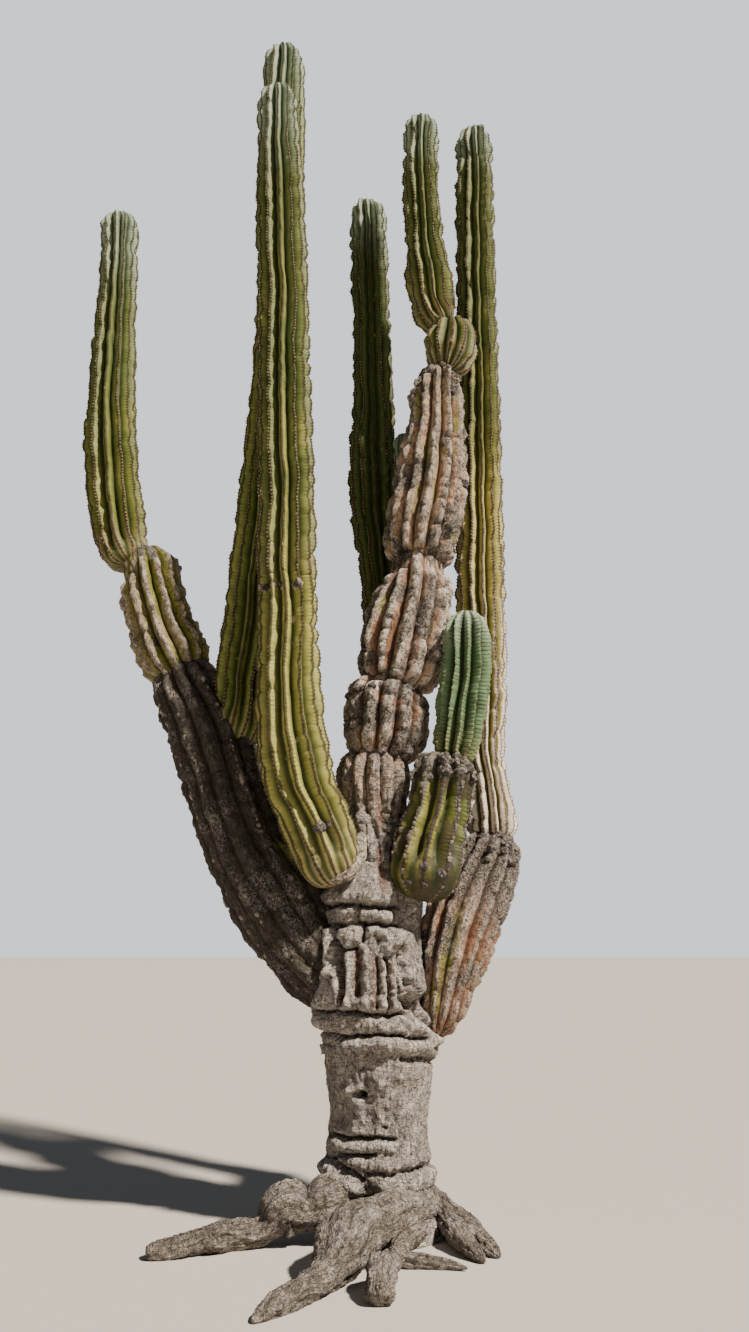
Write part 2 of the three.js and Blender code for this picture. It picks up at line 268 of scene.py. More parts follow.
def makeStudio(s):
    corners = [(x * s["floorReach"], y * s["floorReach"], 0) for x, y in ((-1, -1), (1, -1), (1, 1), (-1, 1))]
    floor = place("floor", newMesh("floor", corners, [(0, 1, 2, 3)]))
    material = bpy.data.materials.new("floorPaint")
    material.use_nodes = True
    paint = material.node_tree.nodes["Principled BSDF"]
    paint.inputs["Base Color"].default_value = hexTone(s["floorTone"])
    paint.inputs["Roughness"].default_value = s["floorRoughness"]
    floor.data.materials.append(material)
    floor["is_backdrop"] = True

    key = place("key", bpy.data.lights.new("key", "SUN"))
    key.data.energy = s["keyPower"]
    key.data.color = hexTone(s["keyTone"])[:3]
    key.data.angle = math.radians(s["keySpread"])
    towards = sunDirection(s["keyBearing"], s["keyHeight"])
    key.rotation_euler = towards.to_track_quat("Z", "Y").to_euler()

    world = bpy.data.worlds.new("studio")
    world.use_nodes = True
    tree = world.node_tree
    tree.nodes.clear()
    seen = Field(add(tree, "ShaderNodeLightPath").outputs["Is Camera Ray"])
    back = {"Color": hexTone(s["backTone"]), "Strength": s["backPower"]}
    fill = {"Color": hexTone(s["fillTone"]), "Strength": s["fillPower"]}
    fillNode, backNode = [add(tree, "ShaderNodeBackground", inputs) for inputs in (fill, back)]
    mix = add(tree, "ShaderNodeMixShader", {0: seen, 1: out(fillNode), 2: out(backNode)})
    add(tree, "ShaderNodeOutputWorld", {"Surface": out(mix)})
    scene.world = world


makeStudio(studio)
print("studio ready")


# Limbs: a rail of rows runs up each one, and a node tree sweeps the ribbed skin along it

rows = {
    "step": 0.0135,
    "columns": 10,
    "capRows": 4,
    "capBulge": 0.12,
    "endRows": 6,
    "endCurve": 1.35,
    "tipGroove": 0.3,
    "tipGrooveReach": 0.22,
    "fit": (0.35, 1.2),
    "sampling": 0.002,
}
areoleSpacing = 2 * rows["step"]  # they sit on every second row


def closing(end, distance):  # how far an end has closed in
    length, flat = end
    t = np.clip(distance / length, 0, 1)
    return flat + (1 - flat) * np.sqrt(np.clip(1 - (1 - t) ** 2, 0, 1))


def lineThrough(stations):
    gaps = np.linalg.norm(np.diff(stations[:, :3], axis=0), axis=1)
    marks = np.concatenate([[0], np.cumsum(gaps)])
    slope = np.diff(stations, axis=0) / gaps[:, None]
    inner = (slope[:-1] * gaps[1:, None] + slope[1:] * gaps[:-1, None]) / (gaps[:-1] + gaps[1:])[:, None]
    slopes = np.vstack([slope[:1], inner, slope[-1:]])

    def at(s):
        i = np.clip(np.searchsorted(marks, s, side="right") - 1, 0, len(gaps) - 1)
        span = gaps[i][:, None]
        t = (s - marks[i])[:, None] / span
        start, end = (1 + 2 * t) * (1 - t) ** 2, t * t * (3 - 2 * t)
        leaving, arriving = t * (1 - t) ** 2 * span, t * t * (t - 1) * span
        return start * stations[i] + end * stations[i + 1] + leaving * slopes[i] + arriving * slopes[i + 1]

    return marks[-1], at


def smooth(value, low, high):
    t = np.clip((value - low) / (high - low), 0, 1)
    return t * t * (3 - 2 * t)


def railMesh(limb):
    stations = np.array(limb["line"], float)
    length, at = lineThrough(stations)
    step = limb.get("step", rows["step"])
    foot, tip = limb["foot"], limb["tip"]

    def rounding(end):  # rows that round off an end, evenly spaced over its curve
        if end[1] == 1:
            return np.array([])
        count = max(rows["endRows"], round(end[0] * rows["endCurve"] / step))
        turns = np.linspace(0, math.pi / 2, count, endpoint=False)
        return end[0] * (1 - np.cos(turns))

    low = 0 if foot[1] == 1 else foot[0]
    high = length if tip[1] == 1 else length - tip[0]
    column = np.linspace(low, high, max(2, round((high - low) / step)))
    s = np.concatenate([rounding(foot), column, length - rounding(tip)[::-1]])
    share = np.ones(len(s))
    for end, first in ((foot, True), (tip, False)):  # rows that shut a flat end
        if end[1] > 0:
            cap = np.linspace(0, 1, rows["capRows"], endpoint=False)
            s = np.concatenate([np.zeros(len(cap)), s] if first else [s, np.full(len(cap), length)])
            share = np.concatenate([cap, share] if first else [share, cap[::-1]])

    spot = at(s)
    near = rows["sampling"]
    onward = at(np.minimum(s + near, length))[:, :3] - at(np.maximum(s - near, 0))[:, :3]
    onward /= np.linalg.norm(onward, axis=1)[:, None]
    if limb.get("levelFoot"):
        onward[s == 0] = (0, 0, 1)
    facing = np.array((0, 0, 1.0) if limb.get("onGround") else (0, -1.0, 0))
    front = facing - onward * (onward @ facing)[:, None]
    front /= np.linalg.norm(front, axis=1)[:, None]
    side = np.cross(onward, front)
    reach = spot[:, 3] * closing(foot, s) * closing(tip, length - s) * share
    for level, depth, half in limb.get("waists", []):
        reach *= 1 - depth * np.exp(-((spot[:, 2] - level) / half) ** 2)
    bulge = rows["capBulge"] * (0 if limb.get("levelFoot") else 1)
    out = bulge * (1 - share ** 2) * spot[:, 3] * np.where(s == 0, -foot[1], tip[1])
    centre = spot[:, :3] + onward * np.where(share < 1, out, 0)[:, None]
    along = s / length
    groove = np.interp(along, *zip(*limb["groove"]))
    if "smoothFoot" in limb:
        groove = groove * smooth(s, *limb["smoothFoot"])
    if tip[1] == 0:
        least = rows["tipGroove"]
        groove = groove * (least + (1 - least) * smooth(length - s, 0, rows["tipGrooveReach"]))

    mesh = newMesh(limb["piece"], centre)
    held = {
        "reach": reach,
        "groove": groove,
        "fromFoot": s,
        "fromTip": length - s + limb.get("below", 0),
        "corkAge": np.interp(along, *zip(*limb["cork"])) if "cork" in limb else np.ones(len(s)),
        "fit": np.clip(np.gradient(s) / step, *rows["fit"]) * (share == 1),
        "front": front,
        "side": side,
        "onward": onward,
    }
    for name, values in held.items():
        keep(mesh, name, values)
    return mesh


ribForm = {
    "driftScale": 2.1,
    "driftReach": 0.06,
    "roundest": 0.985,
    "tipRounding": (0.12, 0.05),
    "footRounding": (0.15, 0.04),
    "whole": 0.85,
    "unevenRate": 2.0,
    "unevenTurn": 0.6,
    "unevenScale": 1.7,
    "swellRate": 7,
    "diceRate": 6,
    "creaseWidth": 0.1,
    "pillowLength": 0.4,
    "tubercleWidth": 0.3,
    "reliefStretch": 0.32,
    "foldStretch": 0.6,
    "foldWidth": 0.16,
    "fadeReach": 0.07,
    "weld": 0.0003,
}


def ribbedLimbTree(form):
    tree, given, give = newTree("ribbedLimb", "GeometryNodeTree", {
        "Rail": "Geometry",
        "Ribs": 12,
        "Columns": 10,
        "Groove Depth": 1.2,
        "Crest Width": 0.2,
        "Roundness": 0.0,
        "Wander": 0.012,
        "Unevenness": 0.04,
        "Bulge": 0.006,
        "Crease Spacing": 0.032,
        "Crease Depth": 0.006,
        "Pillow": 0.0,
        "Tubercles": 0.0025,
        "Ragged Ends": 0.0,
        "Ragged Feet": 0.0,
        "Slant": 0.0,
        "Slant Turn": 0.0,
        "Core": 0.7,
        "Relief": 0.0,
        "Relief Scale": 9.0,
        "Crinkle": 0.0,
        "Crinkle Scale": 14.0,
        "Seed": 0.0,
        "Material": "Material",
    }, {"Geometry": "Geometry"})
    rail, ribs, columns, seed = [given[k] for k in ("Rail", "Ribs", "Columns", "Seed")]
    rowCount = nodeOut(tree, "GeometryNodeAttributeDomainSize", {"Geometry": rail})
    across = ribs * columns
    size = {"Size X": 1.0, "Size Y": 1.0, "Vertices X": across + 1, "Vertices Y": rowCount}
    geometry = nodeOut(tree, "GeometryNodeMeshGrid", size)
    position = nodeOut(tree, "GeometryNodeInputPosition")
    corner = add(tree, "ShaderNodeSeparateXYZ", {"Vector": position})
    column = ((out(corner, "X") + 0.5) * across).math("ROUND")
    row = ((out(corner, "Y") + 0.5) * (rowCount - 1)).math("ROUND")

    def rowValue(value):  # what the rail holds at this row
        source = {"Geometry": rail, "Value": value, "Index": row}
        return nodeOut(tree, "GeometryNodeSampleIndex", source, data_type=kindOf(value), domain="POINT")

    reach, groove, fromFoot, fromTip, corkAge, fit = [
        rowValue(stored(tree, k)) for k in ("reach", "groove", "fromFoot", "fromTip", "corkAge", "fit")
    ]
    front, side, onward = [rowValue(stored(tree, k, "FLOAT_VECTOR")) for k in ("front", "side", "onward")]
    centre = rowValue(position)

    # which rib, and how far from its crest: 0 on the crest, 1 in the groove
    phase = column / columns
    nearest = phase.math("ROUND")
    rib = (phase + 0.5).math("FLOOR").math("FLOORED_MODULO", ribs)
    ribPlace = (phase - nearest).math("ABSOLUTE") * 2
    dice = add(tree, "ShaderNodeTexWhiteNoise", {"W": rib + seed * 17.3}, noise_dimensions="1D")
    ribTone = out(dice, "Value")
    dicePair = add(tree, "ShaderNodeSeparateXYZ", {"Vector": out(dice, "Color")})
    ribDice, footDice = out(dicePair, "Y"), out(dicePair, "Z")

    def aheadAt(angle):
        return front * angle.math("COSINE") + side * angle.math("SINE")

    turn = column / across * math.tau
    cosine, sine = turn.math("COSINE"), turn.math("SINE")
    shift = vector(tree, seed * 3.1, seed * 1.7, seed * 2.3)  # odd factors, so that no two limbs are alike
    drift = (noise(centre + aheadAt(turn) * reach + shift, form["driftScale"]) - 0.5) * given["Wander"] * 2
    ahead = aheadAt(turn + drift / reach.math("MAXIMUM", form["driftReach"]))

    # a rib's section, from a narrow crest with straight flanks to a round cord
    crest = given["Crest Width"]
    crestSquare = crest * crest
    bend = (ribPlace * ribPlace + crestSquare).math("SQRT") - crest
    bend = bend / ((crestSquare + 1).math("SQRT") - crest)
    bowed = ribPlace * form["roundest"]
    bowed = 1 - (1 - bowed * bowed).math("SQRT")
    section = blend(given["Roundness"], bend, bowed)
    body = 1 - groove * given["Groove Depth"] * section

    # each rib starts and ends a little sooner or later than its neighbours
    def domed(distance, ragged, rounding):
        perRagged, least = rounding
        share = (distance / (ragged * perRagged + least)).math("MAXIMUM", 0).math("MINIMUM", 1)
        return (1 - (1 - share) * (1 - share)).math("SQRT")

    ending, starting, slant = given["Ragged Ends"], given["Ragged Feet"], given["Slant"]
    leaning = 0.5 - (rib / ribs * math.tau - given["Slant Turn"]).math("COSINE") * 0.5
    missing = ribDice * ending + leaning * slant
    present = domed(fromTip - missing, ending, form["tipRounding"])
    present = present.math("MAXIMUM", (ending + slant).math("LESS_THAN", 0.001))
    begun = domed(fromFoot - footDice * starting, starting, form["footRounding"])
    present = present * begun.math("MAXIMUM", starting.math("LESS_THAN", 0.001))
    body = blend(present, given["Core"], body)

    # swellings and creases along a rib, and the limb's own unevenness
    wide = form["unevenTurn"]
    spot = vector(tree, fromFoot * form["unevenRate"] + seed * 5.7, sine * wide, cosine * wide)
    uneven = 1 + (noise(spot, form["unevenScale"], 2.0) - 0.5) * given["Unevenness"] * 2
    swellSpot = vector(tree, fromFoot * form["swellRate"], rib * 5.3, seed)
    swell = (noise(swellSpot, 1.0, 2.0) - 0.5) * given["Bulge"] * 2
    creases = {"W": fromFoot / given["Crease Spacing"] + ribTone * 4.5 + seed * 5, "Scale": 1.0}
    edge = nodeOut(tree, "ShaderNodeTexVoronoi", creases, voronoi_dimensions="1D", feature="DISTANCE_TO_EDGE")
    creaseSpot = vector(tree, fromFoot * form["diceRate"] + ribTone + seed, rib * 4.1, seed)
    creaseDice = noise(creaseSpot, 1.0, 0.0)
    crease = fall(edge, 0.0, form["creaseWidth"]) * (1 - ribPlace * 0.75)
    crease = crease * ramp(creaseDice, 0.38, 0.62)
    seatRow = (row + nearest).math("FLOORED_MODULO", 2).math("LESS_THAN", 0.5)
    tubercle = (seatRow - 0.5) * fall(ribPlace, 0.0, form["tubercleWidth"]) * given["Tubercles"] * 2
    pillow = (ramp(edge, 0.0, form["pillowLength"]) - 0.7) * ramp(creaseDice, 0.3, 0.6)
    pillow = pillow * (1 - ribPlace * 0.8) * given["Pillow"]
    lift = swell * (1 - ribPlace * 0.7) - crease * given["Crease Depth"] + tubercle + pillow

    # bark relief, stretched along the limb
    def unrolled(stretch):
        return vector(tree, cosine * reach, sine * reach, fromFoot * stretch) + shift

    coarse = noise(unrolled(form["reliefStretch"]), given["Relief Scale"], 3.0, 0.6) - 0.5
    knobs = noise(centre + ahead * reach + shift, given["Relief Scale"] * 0.9, 2.0, 0.5) - 0.5
    relief = (coarse * 1.5 + knobs) * given["Relief"]
    folded = unrolled(form["foldStretch"])
    for finer, share in ((1.0, 1.0), (2.3, 0.5)):
        valley = (noise(folded, given["Crinkle Scale"] * finer, 2.0, 0.55) - 0.5).math("ABSOLUTE")
        relief = relief + (ramp(valley, 0.0, form["foldWidth"]) - 0.6) * given["Crinkle"] * share
    radius = reach * body * uneven + (lift + relief) * ramp(reach, 0.0, form["fadeReach"])

    onCrest = (column - nearest * columns).math("ABSOLUTE").math("LESS_THAN", 0.1)
    onCrest = onCrest * column.math("LESS_THAN", across - 0.5)
    seat = onCrest * seatRow * present.math("GREATER_THAN", form["whole"]) * fit.math("GREATER_THAN", 0.01)
    kept = {
        "ribPlace": ribPlace,
        "ribTone": ribTone,
        "fromFoot": fromFoot,
        "fromTip": fromTip,
        "corkAge": corkAge,
        "crease": crease,
        "seat": seat,
        "fit": fit,
        "onward": onward,
        "outward": ahead,
        "rowWave": (turn * ribs * 3).math("COSINE"),
        "skinSpace": unrolled(1.0),
    }
    for name, value in kept.items():
        geometry = store(geometry, name, value)
    moved = {"Geometry": geometry, "Position": centre + ahead * radius}
    geometry = nodeOut(tree, "GeometryNodeSetPosition", moved)
    welded = {"Geometry": geometry, "Distance": form["weld"]}
    geometry = nodeOut(tree, "GeometryNodeMergeByDistance", welded)
    geometry = nodeOut(tree, "GeometryNodeSetShadeSmooth", {"Geometry": geometry})
    giveGeometry(give, geometry, given["Material"])
    return tree


def areoleTree():
    tree, given, give = newTree("areoleRows", "GeometryNodeTree", {
        "Skin": "Geometry",
        "Areole": "Object",
        "Size": 1.0,
        "Size Spread": 0.25,
        "Missing": 0.06,
        "Sink": 0.001,
        "Seed": 1,
        "Material": "Material",
    }, {"Geometry": "Geometry"})
    axes = {"Primary Axis": nodeOut(tree, "GeometryNodeInputNormal"),
            "Secondary Axis": stored(tree, "onward", "FLOAT_VECTOR")}
    turn = nodeOut(tree, "FunctionNodeAxesToRotation", axes, primary_axis="Z", secondary_axis="Y")
    areole = out(add(tree, "GeometryNodeObjectInfo", {"Object": given["Areole"]}), "Geometry")
    chance, sizeDice, toneDice = [randomValue(given["Seed"] + k) for k in range(3)]
    wanted = stored(tree, "seat").math("GREATER_THAN", 0.5) * chance.math("GREATER_THAN", given["Missing"])
    spread = 1 + (sizeDice - 0.5) * given["Size Spread"] * 2
    size = stored(tree, "fit") * given["Size"] * spread
    points = {"Points": given["Skin"], "Selection": wanted, "Instance": areole, "Rotation": turn,
              "Scale": vector(tree, size, size, size)}
    made = store(nodeOut(tree, "GeometryNodeInstanceOnPoints", points), "areoleTone", toneDice, "INSTANCE")
    down = {"Instances": made, "Translation": vector(tree, 0.0, 0.0, given["Sink"] * -1)}
    giveGeometry(give, nodeOut(tree, "GeometryNodeTranslateInstances", down), given["Material"])
    return tree


areoleShape = {
    "length": 0.0095,
    "width": 0.0115,
    "height": 0.0036,
    "sides": 6,
    "spines": 5,
    "spineLength": 0.0058,
    "spineWidth": 0.0018,
    "spread": 0.85,
}


def areoleObject(a):  # a felt pad with a few short spines, standing on the XY plane and long in Y
    points, faces = [], []
    n = a["sides"]
    for level, share in ((-0.35, 1.0), (0.7, 0.72)):
        for turn in (math.tau * i / n for i in range(n)):
            x, y = math.cos(turn) * a["width"] / 2, math.sin(turn) * a["length"] / 2
            points.append((x * share, y * share, level * a["height"]))
    points.append((0, 0, a["height"]))
    for i in range(n):
        j = (i + 1) % n
        faces += [(i, j, n + j, n + i), (n + i, n + j, 2 * n)]
    spine = [0.0] * len(points)
    for k in range(a["spines"]):
        turn = math.tau * (k + 0.5) / a["spines"]
        lean = a["spread"] * (0.75 + 0.25 * (k % 2))
        aim = Vector((math.cos(turn) * lean, math.sin(turn) * lean * 1.2, 1)).normalized()
        x, y = math.cos(turn) * a["width"] * 0.2, math.sin(turn) * a["length"] * 0.24
        root = Vector((x, y, a["height"] * 0.5))
        flat = aim.orthogonal().normalized()
        ring = [flat, aim.cross(flat) * 0.87 - flat * 0.5, -aim.cross(flat) * 0.87 - flat * 0.5]
        first = len(points)
        points += [tuple(root + spoke * a["spineWidth"] / 2) for spoke in ring]
        points.append(tuple(root + aim * a["spineLength"] * (0.7 + 0.3 * ((k * 2) % 3) / 2)))
        faces += [(first + i, first + (i + 1) % 3, first + 3) for i in range(3)]
        spine += [1.0] * 4
    mesh = newMesh("areoleShape", points, faces)
    keep(mesh, "spine", spine)
    return place("areoleShape", mesh)


scabShape = {
    "radius": 0.0125,
    "flatness": 0.62,
    "jitter": 0.3,
    "seed": 6,
}


def scabObject(s):  # a small rough lump of old crust
    mesh = bpy.data.meshes.new("scabShape")
    lump = bmesh.new()
    bmesh.ops.create_icosphere(lump, subdivisions=2, radius=s["radius"])
    dice = np.random.default_rng(s["seed"])
    for corner in lump.verts:
        corner.co *= 1 + dice.uniform(-1, 1) * s["jitter"]
        corner.co.z *= s["flatness"]
    lump.to_mesh(mesh)
    lump.free()
    return place("scabShape", mesh)


def knotTree():  # rough lumps on given points
    tree, given, give = newTree("knots", "GeometryNodeTree", {
        "Points": "Geometry",
        "Flatness": 0.6,
        "Roughness": 0.35,
        "Detail Scale": 26.0,
        "Subdivisions": 4,
        "Seed": 1,
        "Material": "Material",
    }, {"Geometry": "Geometry"})
    ball = nodeOut(tree, "GeometryNodeMeshIcoSphere", {"Radius": 1.0, "Subdivisions": given["Subdivisions"]})
    facing = {"Vector": stored(tree, "facing", "FLOAT_VECTOR")}
    spin = {"Axis": (0.0, 0.0, 1.0), "Angle": randomValue(given["Seed"], math.tau)}
    turned = {"Rotation": nodeOut(tree, "FunctionNodeAlignRotationToVector", facing, axis="Z"),
              "Rotate By": nodeOut(tree, "FunctionNodeAxisAngleToRotation", spin)}
    size = stored(tree, "size")
    points = {"Points": given["Points"], "Instance": ball,
              "Rotation": nodeOut(tree, "FunctionNodeRotateRotation", turned, rotation_space="LOCAL"),
              "Scale": vector(tree, size, size, size * given["Flatness"])}
    made = store(nodeOut(tree, "GeometryNodeInstanceOnPoints", points), "knotSize", size, "INSTANCE")
    made = nodeOut(tree, "GeometryNodeRealizeInstances", {"Geometry": made})
    position = nodeOut(tree, "GeometryNodeInputPosition")
    normal = nodeOut(tree, "GeometryNodeInputNormal")
    rough = noise(position, given["Detail Scale"], 3.0, 0.65) - 0.5
    shove = normal * (rough * stored(tree, "knotSize") * given["Roughness"] * 4)
    made = nodeOut(tree, "GeometryNodeSetPosition", {"Geometry": made, "Offset": shove})
    for name, value in {"skinSpace": position, "fromFoot": position.math("LENGTH")}.items():
        made = store(made, name, value)
    made = nodeOut(tree, "GeometryNodeSetShadeSmooth", {"Geometry": made})
    giveGeometry(give, made, given["Material"])
    return tree


limbTree = ribbedLimbTree(ribForm)
rowTree = areoleTree()
lumpTree = knotTree()
areole = areoleObject(areoleShape)
scab = scabObject(scabShape)
print("node trees ready")


# Shader groups

def groupOf(name, inputs, outputs, build):
    tree, given, give = newTree(name, "ShaderNodeTree", inputs, dict.fromkeys(outputs, "Float"))
    build(given, give)
    return tree


def use(group, **inputs):
    tree = next(value.tree for value in inputs.values() if isinstance(value, Field))
    return add(tree, "ShaderNodeGroup", inputs, node_tree=group)


def mask(group, **inputs):
    return out(use(group, **inputs))


def mixTone(tree, factor, a, b, kind="MIX"):
    tones = {"A": a, "B": b, "Factor": factor}
    return nodeOut(tree, "ShaderNodeMix", tones, data_type="RGBA", blend_type=kind)


def between(factor, code, codeToo):  # from one screen colour to another
    return mixTone(factor.tree, factor, hexTone(code), hexTone(codeToo))


def tint(tone, factor, code):  # a screen colour laid over a tone
    return mixTone(tone.tree, factor, tone, hexTone(code))


def dapple(tone, grey):  # a tone times a value round 1
    return mixTone(tone.tree, 1.0, tone, vector(tone.tree, grey, grey, grey), "MULTIPLY")


def stretched(point, x, y, z):
    return nodeOut(point.tree, "ShaderNodeVectorMath", {0: point, 1: (x, y, z)}, operation="MULTIPLY")


def buildPatches(given, give):  # soft-edged patches: a mask of noise above a threshold
    fine = noise(given["Vector"], given["Scale"], 4.0, 0.6)
    level = 0.74 - given["Amount"] * 0.36
    give("Mask", ramp(fine, level - given["Softness"], level + given["Softness"]))


def buildGrain(given, give):  # fine unevenness: a height for bumps and a tone round 1
    small = noise(given["Vector"], given["Scale"], 5.0, 0.65)
    large = noise(given["Vector"], given["Scale"] * 0.13, 3.0, 0.55)
    give("Height", small)
    give("Tone", 1 + (large - 0.5) * given["Mottle"] + (small - 0.5) * given["Mottle"] * 0.8)


def buildFibres(given, give):  # strands along a limb and wrinkles across it, from its skin space
    strands = noise(stretched(given["Skin"], 1.0, 1.0, 0.09), given["Scale"], 4.0, 0.62)
    wrinkles = noise(stretched(given["Skin"], 0.22, 0.22, 1.0), given["Scale"] * 1.1, 4.0, 0.6)
    give("Strands", strands)
    give("Wrinkles", wrinkles)


def buildPits(given, give):  # dark specks and small holes
    specks = noise(given["Vector"], given["Scale"], 3.0, 0.55)
    give("Mask", ramp(specks, 0.5 + given["Rarity"] * 0.2, 0.56 + given["Rarity"] * 0.2))


def buildCracks(given, give):  # thin lines where noise crosses its middle
    away = (noise(given["Vector"], given["Scale"], 3.0, 0.6) - 0.5).math("ABSOLUTE")
    give("Mask", fall(away, 0.0, given["Width"]))


def buildBeads(given, give):  # a row of short dashes along a line
    beat = (given["Along"] / given["Spacing"] * math.tau).math("SINE")
    near = fall(given["Across"], given["Width"] * 0.55, given["Width"])
    give("Mask", ramp(beat, -0.1, 0.7) * near)


patches = groupOf("patches", {"Vector": "Vector", "Scale": 3.0, "Amount": 0.5, "Softness": 0.05}, ["Mask"],
                  buildPatches)
grain = groupOf("grain", {"Vector": "Vector", "Scale": 60.0, "Mottle": 0.3}, ["Height", "Tone"], buildGrain)
fibres = groupOf("fibres", {"Skin": "Vector", "Scale": 60.0}, ["Strands", "Wrinkles"], buildFibres)
pits = groupOf("pits", {"Vector": "Vector", "Scale": 45.0, "Rarity": 0.3}, ["Mask"], buildPits)
cracks = groupOf("cracks", {"Vector": "Vector", "Scale": 20.0, "Width": 0.04}, ["Mask"], buildCracks)
beads = groupOf("beads", {"Along": 0.0, "Across": 0.0, "Spacing": 0.02, "Width": 0.1}, ["Mask"], buildBeads)


def attribute(tree, name, output="Fac"):
    return Field(add(tree, "ShaderNodeAttribute", attribute_name=name).outputs[output])


def newMaterial(name):
    material = bpy.data.materials.new(name)
    material.use_nodes = True
    tree = material.node_tree
    point = Field(add(tree, "ShaderNodeTexCoord").outputs["Object"])
    return material, tree, tree.nodes["Principled BSDF"], point


def shiftedBy(point, seed):  # so that no two limbs have the same marks
    return point + vector(point.tree, seed * 1.37, seed * 2.11, 0.0)


def wire(shader, look, tone, roughness, height):
    bump = {"Height": height, "Strength": look["bump"], "Distance": look["bumpHeight"]}
    normal = nodeOut(tone.tree, "ShaderNodeBump", bump)
    for name, value in (("Base Color", tone), ("Roughness", roughness), ("Normal", normal)):
        tone.tree.links.new(value.socket, shader.inputs[name])
    shader.inputs["Specular IOR Level"].default_value = look["specular"]


def greenSkin(name, look):
    material, tree, shader, point = newMaterial(name)
    ribPlace, fromTip, corkAge, crease, ribTone, fromFoot = [
        attribute(tree, k) for k in ("ribPlace", "fromTip", "corkAge", "crease", "ribTone", "fromFoot")
    ]
    skin = attribute(tree, "skinSpace", "Vector")
    shifted = shiftedBy(point, look["seed"])
    drift = noise(shifted, look["driftScale"], 3.0, 0.6) - 0.5
    skinGrain = use(grain, Vector=shifted, Scale=look["grainScale"], Mottle=look["mottle"])
    strands = use(fibres, Skin=skin, Scale=look["wrinkleScale"])

    # age colours from the tip down
    young = ramp(fromTip + drift * look["tipLength"] * 0.7, 0.0, look["tipLength"])
    old = ramp(fromTip + drift * 1.4, *look["oldFrom"])
    tone = between(young, look["tip"], look["middle"])
    tone = tint(tone, old, look["low"])
    # a tone towards the foot: the limb's own colour on most limbs, a painted shade where a limb sets its foot
    # tone dark (lower front arm, front bough)
    near = fall(fromFoot + drift * 0.3, look["footReach"] * 0.5, look["footReach"])
    tone = tint(tone, near * look["footed"], look["foot"])
    sunned = ramp(drift + (ribTone - 0.5) * 0.3, 0.0, 0.22) * look["sunned"] * ramp(fromTip, *look["sunFrom"])
    tone = tint(tone, sunned, look["sun"])
    # painted shade: the rib grooves darken towards their bottoms
    deep = ramp(ribPlace, 0.3, 0.92) * look["deepness"]
    tone = tint(tone, deep, look["deep"])
    tone = tint(tone, ramp(out(strands, "Wrinkles"), 0.48, 0.72) * 0.36, look["deep"])

    # cork spreads from the crests as the skin ages
    ragged = (noise(shifted, look["corkRagScale"], 4.0, 0.7) - 0.5) * 0.5
    band = fall(ribPlace + ragged * (corkAge + 0.15), corkAge * 0.8 + 0.02, corkAge * 0.8 + 0.12)
    band = band * ramp(corkAge, 0.02, 0.14)
    corkTone = between(ramp(out(strands, "Strands"), 0.35, 0.65), look["cork"], look["corkGrey"])
    tone = mixTone(tree, band * 0.92, tone, corkTone)
    edge = look["crestLine"] * (0.35 + noise(shifted, look["crestRagScale"], 4.0, 0.7) * 1.3)
    line = fall(ribPlace, edge * 0.55, edge)
    tone = tint(tone, line * 0.88, look["crest"])

    # notches between the areoles, painted shade in the creases, scars and dry spots
    notches = mask(beads, Along=fromFoot, Across=ribPlace, Spacing=areoleSpacing, Width=look["notchReach"])
    notches = notches * ramp(noise(shifted, look["notchPatchScale"]), 0.36, 0.56)
    tone = tint(tone, notches * look["notched"], look["deep"])
    spots = mask(patches, Vector=shifted, Scale=look["scarScale"], Amount=look["scars"], Softness=0.02)
    tone = tint(tone, spots * 0.75, look["scar"])
    # painted shade in the creases
    tone = tint(tone, ramp(crease, 0.25, 1.0) * 0.75, look["creaseShadeTone"])
    tone = dapple(tone, out(skinGrain, "Tone"))
    rough = look["roughness"] + band * 0.3 + spots * 0.2 + line * 0.3 + (1 - young) * 0.14
    height = out(skinGrain, "Height") * 0.3 + out(strands, "Wrinkles") * look["wrinkled"]
    height = height + band * out(strands, "Strands") * 1.3 + line * noise(shifted, 90.0, 2.0) * 0.8
    height = height + spots * 0.4 - notches * look["notchDepth"]
    wire(shader, look, tone, rough, height)
    return material


